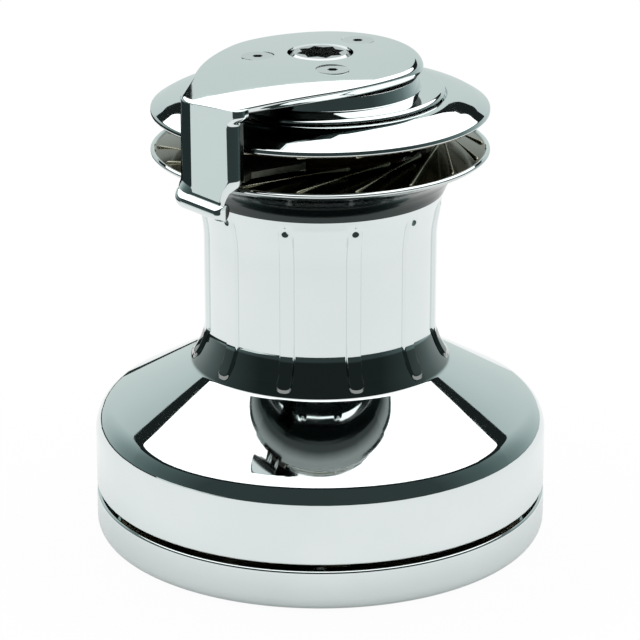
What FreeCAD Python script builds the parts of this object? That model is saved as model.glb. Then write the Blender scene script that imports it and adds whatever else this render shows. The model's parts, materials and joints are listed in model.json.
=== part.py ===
"""Two-speed self-tailing sailboat winch, as an assembly of separate pieces.

Frame: millimetres, +Z up along the drum's axis, origin at the centre of the base's
underside.  Azimuths are degrees about +Z, counted from +X.
"""
import math
import os
import re
from dataclasses import dataclass

import FreeCAD
import Part
import Sketcher
from FreeCAD import Placement, Rotation, Vector

# ---------------------------------------------------------------------------
# Driving dimensions (mm and degrees).  Each one is a cell of the sheet "Sizes".
# ---------------------------------------------------------------------------
SIZES: dict[str, float] = {
    # base
    "base_radius": 118.4,
    "base_ring_height": 22.5,
    "base_edge_radius": 7.0,
    "base_ring_wall": 4.8,
    "base_foot_width": 10.4,
    "base_plate_thickness": 8.0,
    "mount_circle_inset": 23.4,
    "mount_hole_radius": 4.25,
    "mount_head_radius": 8.4,
    "mount_hole_count": 6,
    "mount_hole_azimuth": 0.0,
    "drain_hole_radius": 4.0,
    "drain_circle_radius": 58.0,
    # running clearances
    "running_gap": 0.3,
    "journal_gap": 0.06,
    "seat_gap": 0.02,
    # gear train
    "gear_module": 3.0,
    "pressure_angle": 20.0,
    "tooth_backlash": 0.16,
    "ring_teeth": 66,
    "second_pinion_teeth": 25,
    "spindle_teeth": 12,
    "first_gear_teeth": 24,
    "idler_teeth": 15,
    "spindle_shift": 0.35,
    "large_gear_face": 10.0,
    "second_pinion_face": 8.0,
    "first_gear_face": 14.0,
    "gear_floor_gap": 1.0,
    "gear_level_gap": 2.0,
    "second_pinion_offset": 7.0,
    "layshaft_azimuth": 90.0,
    "idler_azimuth_step": 150.0,
    "layshaft_pin_radius": 10.0,
    "idler_pin_radius": 8.0,
    "idler_hub_radius": 13.0,
    # ratchets and pawls
    "ratchet_teeth": 12,
    "ratchet_land": 3.0,
    "ratchet_depth": 4.2,
    "pawl_engagement": 2.0,
    "pawl_heel_radius": 3.0,
    "pawl_nose_radius": 1.7,
    "pawl_heel_inset": 4.5,
    "pawl_spread": 35.0,
    "pawl_side_gap": 0.3,
    "pawl_face_gap": 0.95,
    "pawl_spring_wire": 0.45,
    # spindle
    "spindle_radius": 15.7,
    "spindle_foot_radius": 10.0,
    "spindle_drop": 0.1,
    "first_carrier_radius": 21.5,
    "second_hub_radius": 20.5,
    "socket_square": 17.5,
    "socket_depth": 45.0,
    "socket_azimuth": 14.4,
    "spindle_brow": 2.0,
    "bush_wall": 4.0,
    "foot_bush_depth": 6.0,
    "middle_bush_length": 10.0,
    "upper_bush_length": 12.0,
    "snap_ring_width": 2.6,
    "snap_ring_thickness": 1.6,
    "snap_groove_depth": 1.0,
    # stem
    "stem_radius": 42.0,
    "stem_bore_radius": 26.0,
    "stem_flange_radius": 88.0,
    "stem_flange_thickness": 8.0,
    "stem_flange_gap": 8.0,
    "stem_cap_thickness": 20.0,
    "pillar_radius": 7.0,
    "pillar_circle_radius": 84.0,
    "pillar_bolt_radius": 3.0,
    "pillar_bolt_depth": 22.0,
    # drum
    "drum_seam": 3.1,
    "drum_skirt_radius": 118.2,
    "drum_skirt_wall": 6.2,
    "drum_shoulder_height": 65.0,
    "drum_shoulder_radius": 16.4,
    "drum_neck_radius": 58.8,
    "drum_cone_angle": 29.6,
    "drum_flare_radius": 15.5,
    "drum_bore_radius": 50.0,
    "drum_foot_wall": 6.0,
    "drum_foot_gap": 0.3,
    "drum_cone_wall": 7.0,
    "drum_neck_top": 186.0,
    "drum_hub_radius": 54.0,
    "drum_hub_drop": 0.9,
    "drum_hub_bore_radius": 45.5,
    "jaw_seat_radius": 57.0,
    "rib_count": 11,
    "rib_width": 7.4,
    "rib_height": 1.5,
    "rib_top": 181.5,
    "rib_foot": 94.0,
    "ring_gear_height": 28.0,
    "ring_screw_count": 6,
    "ring_screw_radius": 2.0,
    "ring_screw_head_radius": 3.6,
    "ring_screw_head_depth": 4.0,
    "ring_screw_edge": 0.8,
    "ring_screw_grip": 6.0,
    "ring_ledge_width": 8.0,
    # bearings
    "roller_count": 12,
    "roller_length": 20.0,
    "cage_height": 24.0,
    "cage_wall": 6.0,
    "lower_cage_bottom": 110.0,
    "upper_cage_bottom": 158.0,
    "thrust_washer_thickness": 2.0,
    "thrust_washer_width": 8.0,
    # jaws
    "lower_jaw_rim_radius": 86.7,
    "lower_jaw_rim_height": 206.0,
    "jaw_throat_radius": 62.0,
    "jaw_rim_width": 2.4,
    "lower_throat_height": 212.8,
    "lower_groove_height": 207.0,
    "upper_throat_height": 220.6,
    "upper_jaw_rim_radius": 86.4,
    "upper_jaw_rim_height": 227.7,
    "upper_dome_radius": 62.5,
    "upper_dome_height": 235.5,
    "upper_dome_bulge": 2.6,
    "upper_web_height": 226.0,
    "upper_well_radius": 60.2,
    "jaw_fin_count": 18,
    "jaw_fin_width": 2.4,
    "jaw_fin_height": 1.8,
    "jaw_fin_sweep": 41.9,
    "jaw_fin_azimuth": 261.9,
    "jaw_spring_height": 5.2,
    "jaw_spring_wall": 0.9,
    "retainer_thickness": 2.0,
    "retainer_width": 5.2,
    "retainer_groove": 1.2,
    # stationary cover, arm and stripper
    "cover_radius": 63.6,
    "cover_gap": 0.5,
    "cover_edge_rise": 1.9,
    "cover_edge_thickness": 1.6,
    "cover_top_radius": 49.7,
    "cover_rise": 10.0,
    "arm_azimuth": 235.5,
    "arm_hub_radius": 52.2,
    "arm_flank_radius": 140.0,
    "arm_flank_turn": 84.0,
    "arm_hub_foot_radius": 47.5,
    "arm_rise": 10.7,
    "arm_plate_thickness": 8.6,
    "arm_brow_drop": 4.3,
    "arm_undercut_angle": 22.0,
    "arm_bevel_angle": 38.0,
    "arm_crown_along": 1090.0,
    "arm_crown_across": 452.0,
    "arm_reach": 99.0,
    "arm_leg_width": 33.4,
    "arm_leg_depth": 11.0,
    "arm_corner_radius": 6.0,
    "arm_heel_radius": 3.0,
    "arm_lip_height": 199.1,
    "arm_lip_reach": 3.2,
    "arm_lip_radius": 3.4,
    "arm_lip_tilt": 8.5,
    "arm_lip_width": 25.0,
    "arm_lip_shift": 3.2,
    "arm_scoop_rise": 19.0,
    "arm_scoop_shoulder": 11.0,
    "arm_scoop_wall": 1.8,
    "arm_socket_radius": 16.2,
    "arm_screw_circle": 32.0,
    "arm_screw_radius": 4.0,
    "arm_screw_head_radius": 8.4,
    "arm_screw_length": 36.0,
    "arm_screw_hex": 4.8,
    "arm_screw_sink": 0.05,
    "finger_inner_radius": 64.5,
    "finger_thickness": 3.2,
    "finger_clearance": 0.6,
    "finger_rise": 3.0,
    "finger_root_front": 15.0,
    "finger_root_back": 9.0,
    "finger_bend": 7.0,
    "finger_tip_reach": 61.3,
    "finger_tip_front": 29.6,
    "finger_tip_width": 4.3,
    "finger_screw_radius": 2.0,
}

# Sizes that follow from others, as formulas of the same sheet.
FOLLOWING: dict[str, str] = {
    "mount_circle_radius": "base_radius - mount_circle_inset",
    "stem_top": "upper_dome_height + cover_gap",
    "drum_hub_top": "upper_dome_height - drum_hub_drop",
    "cover_edge_height": "stem_top + cover_edge_rise",
    "cover_top": "stem_top + cover_rise",
    "arm_top": "cover_top + arm_rise",
    "spindle_top": "arm_top - spindle_drop",
}

CLOCKWISE, COUNTER_CLOCKWISE = -1.0, 1.0
ARM_SCREW_AZIMUTHS = (189.0, 281.0, 53.0)
PILLAR_STEPS = (60.0, 105.0, 255.0, 300.0)

# ---------------------------------------------------------------------------
# Heights and radii that follow from the driving dimensions
# ---------------------------------------------------------------------------
PLATE_RADIUS = "(base_radius - base_foot_width)"
LARGE_GEAR_FOOT = "(base_plate_thickness + gear_floor_gap)"
LARGE_GEAR_TOP = f"({LARGE_GEAR_FOOT} + large_gear_face)"
PINION_FOOT = f"({LARGE_GEAR_TOP} + second_pinion_offset)"
PINION_TOP = f"({PINION_FOOT} + second_pinion_face)"
FIRST_GEAR_FOOT = f"({PINION_TOP} + gear_level_gap)"
FIRST_GEAR_TOP = f"({FIRST_GEAR_FOOT} + first_gear_face)"
FLANGE_FOOT = f"({FIRST_GEAR_TOP} + stem_flange_gap)"
FLANGE_TOP = f"({FLANGE_FOOT} + stem_flange_thickness)"
WASHER_TOP = f"({FLANGE_TOP} + thrust_washer_thickness)"
DRUM_FOOT = f"({WASHER_TOP} + drum_foot_gap)"
SKIRT_FOOT = "(base_ring_height + drum_seam)"
SKIRT_BORE = "(drum_skirt_radius - drum_skirt_wall)"
RING_GEAR_FOOT = f"({SKIRT_FOOT} + running_gap)"
RING_GEAR_TOP = f"({RING_GEAR_FOOT} + ring_gear_height)"
FIRST_PAWL_FOOT = f"({FIRST_GEAR_FOOT} + ratchet_land + pawl_side_gap)"
SECOND_PAWL_FOOT = f"({LARGE_GEAR_FOOT} + ratchet_land + pawl_side_gap)"
RETAINER_FOOT = "(upper_web_height + jaw_spring_height + running_gap)"
RING_SCREW_CIRCLE = f"({SKIRT_BORE} - ring_screw_head_radius - ring_screw_edge)"
COVER_FOOT = "stem_top"
ARM_FOOT = "(arm_top - arm_plate_thickness)"

doc = FreeCAD.newDocument("Winch")
sheet = doc.addObject("Spreadsheet::Sheet", "Sizes")
cells = {**SIZES, **{alias: "=" + formula for alias, formula in FOLLOWING.items()}}
for row, (alias, content) in enumerate(cells.items(), start=1):
    sheet.set(f"A{row}", alias)
    sheet.set(f"B{row}", str(content))
    sheet.setAlias(f"B{row}", alias)
    doc.recompute()

NODES: list = []


# ---------------------------------------------------------------------------
# Helpers
# ---------------------------------------------------------------------------
def bound(expression: str) -> str:
    """Write an expression of size names as one that FreeCAD reads from the sheet."""
    return re.sub(r"[a-z]+(?:_[a-z]+)+", lambda name: "Sizes." + name.group(0), expression)


def size(expression: str) -> float:
    """The value of an expression of size names, in millimetres or degrees."""
    return float(sheet.evalExpression(bound(expression)))


def polar(radius: float, azimuth: float, height: float = 0.0) -> Vector:
    """A point from its radius, azimuth in degrees and height."""
    turn = math.radians(azimuth)
    return Vector(radius * math.cos(turn), radius * math.sin(turn), height)


def turned(azimuth: float, offset: Vector = Vector()) -> Placement:
    """A placement turned about +Z."""
    return Placement(offset, Rotation(Vector(0, 0, 1), azimuth))


def keep(label: str, thing) -> object:
    """Give an object its node name and list it for export."""
    thing.Label = label
    NODES.append(thing)
    return thing


def new_body(name: str):
    """An empty PartDesign body."""
    return doc.addObject("PartDesign::Body", name)


def plane_sketch(body, role: str, height: str = "0", turn: float = 0.0):
    """A sketch on one of the body's own origin planes, raised and turned along its normal."""
    sketch = body.newObject("Sketcher::SketchObject", body.Name + "_sketch")
    plane = next(item for item in body.Origin.OriginFeatures if item.Role == role)
    sketch.AttachmentSupport = [(plane, "")]
    sketch.MapMode = "FlatFace"
    sketch.AttachmentOffset = Placement(Vector(0, 0, size(height)), Rotation(Vector(0, 0, 1), turn))
    if height != "0":
        sketch.setExpression(".AttachmentOffset.Base.z", bound(height))
    return sketch


def constrain(sketch, kind: str, target: tuple, expression: str) -> None:
    """Add one dimension to a sketch and bind it to the sheet."""
    amount = size(expression)
    if kind == "Radius":
        index = sketch.addConstraint(Sketcher.Constraint("Radius", target[0], amount))
    else:
        index = sketch.addConstraint(Sketcher.Constraint(kind, -1, 1, *target, amount))
    sketch.setExpression(f"Constraints[{index}]", bound(expression))


def polygon(sketch, corners: list[tuple[str, str]]) -> None:
    """Draw a closed polygon whose corners are held by expressions."""
    points = [Vector(size(x), size(y), 0) for x, y in corners]
    count = len(points)
    for index in range(count):
        sketch.addGeometry(Part.LineSegment(points[index], points[(index + 1) % count]), False)
    for index in range(count):
        sketch.addConstraint(Sketcher.Constraint("Coincident", index, 2, (index + 1) % count, 1))
    for index, (x, y) in enumerate(corners):
        constrain(sketch, "DistanceX", (index, 1), x)
        constrain(sketch, "DistanceY", (index, 1), y)


def belt(sketch, circles: list[tuple[str, str, str]]) -> None:
    """Draw the outline of a belt round some circles, listed counter-clockwise.

    Where one circle touches the next from inside, their arcs meet with no line between, and the
    touch itself sets how high the next one lies.
    """
    rounds = [(Vector(size(x), size(y), 0), size(radius)) for x, y, radius in circles]
    count = len(rounds)
    normals, touching = [], []
    for index in range(count):
        (start, first), (end, second) = rounds[index], rounds[(index + 1) % count]
        span = end - start
        ratio = max(-1.0, min(1.0, (first - second) / span.Length))
        touching.append(abs(ratio) > 1 - 1e-6)
        normals.append(math.atan2(span.y, span.x) - math.acos(ratio))
    for index in range(count):
        centre, radius = rounds[index]
        low, high = normals[index - 1], normals[index]
        while high < low:
            high += 2 * math.pi
        circle = Part.Circle(centre, Vector(0, 0, 1), radius)
        sketch.addGeometry(Part.ArcOfCircle(circle, low, high), False)
    lines = {}
    for index in range(count):
        if not touching[index]:
            out = Vector(math.cos(normals[index]), math.sin(normals[index]), 0)
            (start, first), (end, second) = rounds[index], rounds[(index + 1) % count]
            line = Part.LineSegment(start + out * first, end + out * second)
            lines[index] = sketch.addGeometry(line, False)
    for index, (x, y, radius) in enumerate(circles):
        constrain(sketch, "Radius", (index,), radius)
        constrain(sketch, "DistanceX", (index, 3), x)
        if not touching[index - 1]:
            constrain(sketch, "DistanceY", (index, 3), y)
    for index in range(count):
        following = (index + 1) % count
        if index in lines:
            sketch.addConstraint(Sketcher.Constraint("Tangent", index, 2, lines[index], 1))
            sketch.addConstraint(Sketcher.Constraint("Tangent", lines[index], 2, following, 1))
        else:
            sketch.addConstraint(Sketcher.Constraint("Tangent", index, 2, following, 1))


def revolve(body, corners: list[tuple[str, str]], kind: str = "Revolution"):
    """Turn a closed outline of radius and height about +Z, as a solid or as a groove."""
    sketch = plane_sketch(body, "XZ_Plane")
    polygon(sketch, corners)
    feature = body.newObject("PartDesign::" + kind, body.Name + "_" + kind.lower())
    feature.Profile = sketch
    feature.ReferenceAxis = (sketch, ["V_Axis"])
    feature.Angle = 360
    doc.recompute()
    return feature


def pad(body, sketch, length: str, kind: str = "Pad", reverse: bool = False,
        midplane: bool = False, draft: str = ""):
    """Pad or pocket a sketch by a length from the sheet, with its walls drawn in by a draft."""
    feature = body.newObject("PartDesign::" + kind, body.Name + "_" + kind.lower())
    feature.Profile = sketch
    feature.Reversed = reverse
    feature.SideType = "Symmetric" if midplane else "One side"
    feature.setExpression("Length", bound(length))
    if draft:
        feature.setExpression("TaperAngle", bound(f"0 - {draft}"))
    doc.recompute()
    return feature


def round_hole(body, x: str, y: str, radius: str, height: str, depth: str):
    """Pocket a round hole downwards from a height."""
    sketch = plane_sketch(body, "XY_Plane", height)
    centre = Vector(size(x), size(y), 0)
    sketch.addGeometry(Part.Circle(centre, Vector(0, 0, 1), size(radius)), False)
    constrain(sketch, "Radius", (0,), radius)
    constrain(sketch, "DistanceX", (0, 3), x)
    constrain(sketch, "DistanceY", (0, 3), y)
    return pad(body, sketch, depth, "Pocket")


def repeat(body, features: list, count: str, sweep: float = 360.0):
    """Repeat features round the body's Z axis and make that the body's result."""
    pattern = body.newObject("PartDesign::PolarPattern", body.Name + "_pattern")
    pattern.Originals = features
    axis = next(item for item in body.Origin.OriginFeatures if item.Role == "Z_Axis")
    pattern.Axis = (axis, [""])
    pattern.Angle = sweep
    pattern.setExpression("Occurrences", bound(count))
    body.Tip = pattern
    doc.recompute()
    return pattern


def ring_edges(shape, radius: float, height: float) -> list[str]:
    """Names of the full-circle edges at a radius and height about +Z."""
    names = []
    for index, edge in enumerate(shape.Edges, start=1):
        point = edge.Vertexes[0].Point
        on_ring = abs(math.hypot(point.x, point.y) - radius) < 0.01
        level = edge.BoundBox.ZLength < 0.01
        if on_ring and level and abs(point.z - height) < 0.01:
            names.append(f"Edge{index}")
    return names


def round_edges(body, names: list[str], radius: str):
    """Fillet edges of the body's last feature."""
    last = body.Tip
    feature = body.newObject("PartDesign::Fillet", body.Name + "_fillet")
    feature.Base = (last, names)
    feature.setExpression("Radius", bound(radius))
    doc.recompute()
    return feature


def round_ring(body, radius: str, height: str, fillet: str):
    """Fillet the circular edge that lies at a radius and height."""
    return round_edges(body, ring_edges(body.Tip.Shape, size(radius), size(height)), fillet)


def cut(name: str, base, tool):
    """Base less tool."""
    result = doc.addObject("Part::Cut", name)
    result.Base, result.Tool = base, tool
    doc.recompute()
    return result


def fuse(name: str, parts: list):
    """Several objects as one."""
    result = doc.addObject("Part::MultiFuse", name)
    result.Shapes = parts
    doc.recompute()
    return result


def common(name: str, parts: list):
    """What several objects share."""
    result = doc.addObject("Part::MultiCommon", name)
    result.Shapes = parts
    doc.recompute()
    return result


def group(name: str, shapes: list):
    """Separate solids held in one object."""
    result = doc.addObject("Part::Feature", name)
    result.Shape = Part.makeCompound(shapes)
    return result


def cylinder(name: str, radius: str, height: str, foot: str, centre: Vector = Vector()):
    """A Part cylinder standing on a height."""
    result = doc.addObject("Part::Cylinder", name)
    result.setExpression("Radius", bound(radius))
    result.setExpression("Height", bound(height))
    result.Placement = Placement(Vector(centre.x, centre.y, size(foot)), Rotation())
    result.setExpression(".Placement.Base.z", bound(foot))
    doc.recompute()
    return result


# ---------------------------------------------------------------------------
# Gear teeth and ratchets
# ---------------------------------------------------------------------------
FLANK_STEPS = 7


def involute(angle: float) -> float:
    """The involute function."""
    return math.tan(angle) - angle


def tooth_half_angle(radius: float, pitch: float, teeth: float, shift: float, extra: float) -> float:
    """Half of a tooth's angle at a radius, in radians; extra widens it at the pitch circle."""
    pressure = math.radians(size("pressure_angle"))
    base = pitch * math.cos(pressure)
    here = math.acos(min(1.0, base / max(radius, base)))
    half = math.pi / (2 * teeth) + 2 * shift * math.tan(pressure) / teeth
    return half + extra / (2 * pitch) + involute(pressure) - involute(here)


def gear_wire(teeth: int, tip: float, root: float, shift: float, extra: float) -> Part.Wire:
    """The outline of an involute gear with a tooth centred on +X."""
    pitch = size("gear_module") * teeth / 2
    base = pitch * math.cos(math.radians(size("pressure_angle")))
    start = max(base, root)
    radii = [start + (tip - start) * (step / FLANK_STEPS) for step in range(FLANK_STEPS + 1)]
    halves = [tooth_half_angle(radius, pitch, teeth, shift, extra) for radius in radii]
    edges = []
    for tooth in range(teeth):
        middle = 2 * math.pi * tooth / teeth

        def at(radius: float, angle: float) -> Vector:
            return polar(radius, math.degrees(middle + angle))

        rise = [at(radius, -half) for radius, half in zip(radii, halves)]
        fall = [at(radius, half) for radius, half in zip(reversed(radii), reversed(halves))]
        foot, heel = at(root, -halves[0]), at(root, halves[0])
        for points in (rise, fall):
            flank = Part.BSplineCurve()
            flank.interpolate(points)
            edges.append(flank.toShape())
        edges.insert(-1, Part.Arc(rise[-1], at(tip, 0), fall[0]).toShape())
        if root < start:
            edges.insert(-3, Part.LineSegment(foot, rise[0]).toShape())
            edges.append(Part.LineSegment(fall[-1], heel).toShape())
        gap = math.pi / teeth
        following = at(root, 2 * gap - halves[0])
        edges.append(Part.Arc(heel, at(root, gap), following).toShape())
    return Part.Wire(Part.__sortEdges__(edges))


def gear_blank(teeth: int, face: float, shift: float = 0.0):
    """An external gear standing on z = 0 with a tooth centred on +X."""
    module = size("gear_module")
    pitch = module * teeth / 2
    tip, root = pitch + module * (1 + shift), pitch - module * (1.25 - shift)
    wire = gear_wire(teeth, tip, root, shift, -size("tooth_backlash") / 2)
    return Part.Face(wire).extrude(Vector(0, 0, face))


def ratchet_wire(teeth: int, tip: float, root: float, hand: float) -> Part.Wire:
    """An inward saw-tooth outline that stops a pawl whose nose points clockwise for hand -1."""
    points = []
    for tooth in range(teeth):
        azimuth = -hand * 360.0 * tooth / teeth
        points += [polar(tip, azimuth), polar(root, azimuth)]
    return Part.makePolygon(points + points[:1])


def mesh_outside(teeth: int, phase: float, direction: float, partner_teeth: int) -> float:
    """Phase of an outside partner that lies in a direction from a gear of known phase."""
    share = (direction - phase) / (360.0 / teeth)
    pitch = 360.0 / partner_teeth
    return (direction + 180.0 - pitch * (0.5 - share)) % pitch


def mesh_inside(teeth: int, space_phase: float, direction: float, partner_teeth: int) -> float:
    """Phase of a pinion inside a ring whose tooth spaces have a known phase."""
    share = (direction - space_phase) / (360.0 / teeth)
    pitch = 360.0 / partner_teeth
    return (direction - pitch * share) % pitch


def tooth_count(name: str) -> int:
    """A whole number of teeth from the sheet."""
    return int(round(size(name)))


def turned_gear(shape, phase: float, centre: Vector, height: float):
    """A copy of a gear at its place, turned by its phase."""
    result = shape.copy()
    result.Placement = turned(phase, Vector(centre.x, centre.y, height))
    return result


def feature_of(name: str, shape):
    """A document object that holds a shape made by Part's own functions."""
    result = doc.addObject("Part::Feature", name)
    result.Shape = shape
    return result


# ---------------------------------------------------------------------------
# Places of the gear centres
# ---------------------------------------------------------------------------
RING_TEETH = tooth_count("ring_teeth")
PINION_TEETH = tooth_count("second_pinion_teeth")
SPINDLE_TEETH = tooth_count("spindle_teeth")
LARGE_TEETH = RING_TEETH - PINION_TEETH - SPINDLE_TEETH
FIRST_TEETH = tooth_count("first_gear_teeth")
IDLER_TEETH = tooth_count("idler_teeth")

HALF_MODULE = size("gear_module") / 2
LAYSHAFT_REACH = HALF_MODULE * (RING_TEETH - PINION_TEETH)
INNER_IDLER_REACH = HALF_MODULE * (FIRST_TEETH + IDLER_TEETH)
OUTER_IDLER_REACH = HALF_MODULE * (RING_TEETH - IDLER_TEETH)
IDLER_SPACING = HALF_MODULE * 2 * IDLER_TEETH
IDLER_ANGLE = math.degrees(math.acos(
    (INNER_IDLER_REACH ** 2 + OUTER_IDLER_REACH ** 2 - IDLER_SPACING ** 2)
    / (2 * INNER_IDLER_REACH * OUTER_IDLER_REACH)))

LAYSHAFT_AZIMUTH = size("layshaft_azimuth")
INNER_IDLER_AZIMUTH = LAYSHAFT_AZIMUTH + size("idler_azimuth_step")
OUTER_IDLER_AZIMUTH = INNER_IDLER_AZIMUTH + IDLER_ANGLE
LAYSHAFT = polar(LAYSHAFT_REACH, LAYSHAFT_AZIMUTH)
INNER_IDLER = polar(INNER_IDLER_REACH, INNER_IDLER_AZIMUTH)
OUTER_IDLER = polar(OUTER_IDLER_REACH, OUTER_IDLER_AZIMUTH)


# ---------------------------------------------------------------------------
# Base and stem
# ---------------------------------------------------------------------------
def make_base_ring() -> None:
    """The polished ring round the foot of the winch."""
    body = new_body("base_ring")
    bore = "(base_radius - base_ring_wall)"
    revolve(body, [
        (PLATE_RADIUS, "0"), ("base_radius", "0"), ("base_radius", "base_ring_height"),
        (bore, "base_ring_height"), (bore, "base_plate_thickness"),
        (PLATE_RADIUS, "base_plate_thickness")])
    round_ring(body, "base_radius", "0", "base_edge_radius")
    round_ring(body, "base_radius", "base_ring_height", "base_ring_wall / 4")
    keep("base_ring", body)


def make_base_plate() -> None:
    """The plate that bolts to the deck and carries the gear pins."""
    body = new_body("base_plate_blank")
    foot_bush = "(spindle_foot_radius + journal_gap + bush_wall)"
    floor = "(base_plate_thickness - foot_bush_depth)"
    revolve(body, [
        ("0", "0"), (f"{PLATE_RADIUS} - seat_gap", "0"),
        (f"{PLATE_RADIUS} - seat_gap", "base_plate_thickness"),
        (foot_bush, "base_plate_thickness"), (foot_bush, floor), ("0", floor)])
    x = "mount_circle_radius * cos(mount_hole_azimuth * 1deg)"
    y = "mount_circle_radius * sin(mount_hole_azimuth * 1deg)"
    hole = round_hole(body, x, y, "mount_hole_radius", "base_plate_thickness",
                      "base_plate_thickness")
    repeat(body, [hole], "mount_hole_count")
    drain = round_hole(body, "drain_circle_radius", "0", "drain_hole_radius",
                       "base_plate_thickness", "base_plate_thickness")
    repeat(body, [drain], "2", 360.0)
    sinks = []
    step = 360.0 / size("mount_hole_count")
    depth = size("mount_head_radius - mount_hole_radius")
    for index in range(int(size("mount_hole_count"))):
        azimuth = size("mount_hole_azimuth") + index * step
        centre = polar(size("mount_circle_radius"), azimuth, size("base_plate_thickness") - depth)
        sinks.append(Part.makeCone(size("mount_hole_radius"), size("mount_head_radius"), depth,
                                   centre))
    for centre, radius in ((LAYSHAFT, "layshaft_pin_radius"), (INNER_IDLER, "idler_pin_radius"),
                           (OUTER_IDLER, "idler_pin_radius")):
        seat = size("base_plate_thickness") / 2
        sinks.append(Part.makeCylinder(size(radius + " + seat_gap"), seat,
                                       Vector(centre.x, centre.y, seat)))
    for step in PILLAR_STEPS:
        centre = polar(size("pillar_circle_radius"), LAYSHAFT_AZIMUTH + step)
        sinks.append(Part.makeCylinder(size("pillar_bolt_radius + seat_gap"),
                                       size("base_plate_thickness"), centre))
        head = size("pillar_bolt_radius * 1.8 + seat_gap")
        sinks.append(Part.makeCylinder(head, size("base_plate_thickness") / 2, centre))
    keep("base_plate", cut("base_plate_cut", body, feature_of("base_sinks", Part.makeCompound(sinks))))


def make_stem() -> None:
    """The fixed stem: a bridge on four pillars with the bearing column above it."""
    body = new_body("stem_blank")
    upper_seat = "(spindle_radius + journal_gap + bush_wall)"
    cap = "(stem_top - stem_cap_thickness)"
    upper_bush_foot = "(stem_top - upper_bush_length)"
    revolve(body, [
        (upper_seat, FLANGE_FOOT), ("stem_flange_radius", FLANGE_FOOT),
        ("stem_flange_radius", FLANGE_TOP), ("stem_radius", FLANGE_TOP),
        ("stem_radius", "stem_top"), (upper_seat, "stem_top"),
        (upper_seat, upper_bush_foot), ("spindle_radius + 1", upper_bush_foot),
        ("spindle_radius + 1", cap), ("stem_bore_radius", cap),
        ("stem_bore_radius", f"{FLANGE_FOOT} + middle_bush_length"),
        (upper_seat, f"{FLANGE_FOOT} + middle_bush_length")])
    pillars, holes = [], []
    for step in PILLAR_STEPS:
        centre = polar(size("pillar_circle_radius"), LAYSHAFT_AZIMUTH + step)
        foot = size("base_plate_thickness")
        pillars.append(Part.makeCylinder(size("pillar_radius"), size(FLANGE_FOOT) - foot + 1,
                                         Vector(centre.x, centre.y, foot)))
        holes.append(Part.makeCylinder(size("pillar_bolt_radius + seat_gap"),
                                       size("pillar_bolt_depth"), Vector(centre.x, centre.y, foot)))
    for centre, radius in ((LAYSHAFT, "layshaft_pin_radius"), (INNER_IDLER, "idler_pin_radius"),
                           (OUTER_IDLER, "idler_pin_radius")):
        start = Vector(centre.x, centre.y, size(FLANGE_FOOT))
        holes.append(Part.makeCylinder(size(radius + " + seat_gap"),
                                       size("stem_flange_thickness / 2"), start))
    for azimuth in ARM_SCREW_AZIMUTHS:
        foot = size("arm_top - arm_screw_length - arm_screw_sink") - 2
        centre = polar(size("arm_screw_circle"), azimuth, foot)
        holes.append(Part.makeCylinder(size("arm_screw_radius + seat_gap"),
                                       size("stem_top") - foot, centre))
    column = fuse("stem_column", [body, feature_of("stem_pillars", Part.makeCompound(pillars))])
    keep("centre_stem", cut("stem_cut", column, feature_of("stem_holes", Part.makeCompound(holes))))


def make_stem_fixings() -> None:
    """Bolts that hold the stem's pillars, and the pins that carry the gears."""
    bolts = []
    for step in PILLAR_STEPS:
        centre = polar(size("pillar_circle_radius"), LAYSHAFT_AZIMUTH + step)
        head = Part.makeCylinder(size("pillar_bolt_radius * 1.8"),
                                 size("base_plate_thickness / 2"), centre)
        shank = Part.makeCylinder(size("pillar_bolt_radius"),
                                  size("base_plate_thickness + pillar_bolt_depth - 1"), centre)
        socket = Part.makeCylinder(size("pillar_bolt_radius"), 2.0, centre)
        bolts.append(head.fuse(shank).cut(socket))
    keep("pillar_bolts", group("pillar_bolts", bolts))
    seat = "(base_plate_thickness / 2)"
    length = f"{FLANGE_FOOT} - {seat} + stem_flange_thickness / 2 - running_gap"
    for name, radius, centre in (("layshaft_pin", "layshaft_pin_radius", LAYSHAFT),
                                 ("inner_idler_pin", "idler_pin_radius", INNER_IDLER),
                                 ("outer_idler_pin", "idler_pin_radius", OUTER_IDLER)):
        keep(name, cylinder(name, radius, length, seat, centre))


def make_bushes() -> None:
    """Plain bushes that carry the spindle at its foot, at the bridge and at the stem's top."""
    bore = "(spindle_radius + journal_gap)"
    outside = f"({bore} + bush_wall - seat_gap)"
    foot_bore = "(spindle_foot_radius + journal_gap)"
    foot_outside = f"({foot_bore} + bush_wall - seat_gap)"
    spans = {
        "spindle_foot_bush": (foot_bore, foot_outside,
                              "base_plate_thickness - foot_bush_depth", "foot_bush_depth"),
        "spindle_middle_bush": (bore, outside, FLANGE_FOOT, "middle_bush_length"),
        "spindle_upper_bush": (bore, outside, "stem_top - upper_bush_length",
                               "upper_bush_length"),
    }
    for name, (inner, outer, foot, height) in spans.items():
        body = new_body(name)
        top = f"({foot}) + {height}"
        revolve(body, [(inner, foot), (outer, foot), (outer, top), (inner, top)])
        keep(name, body)


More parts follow.
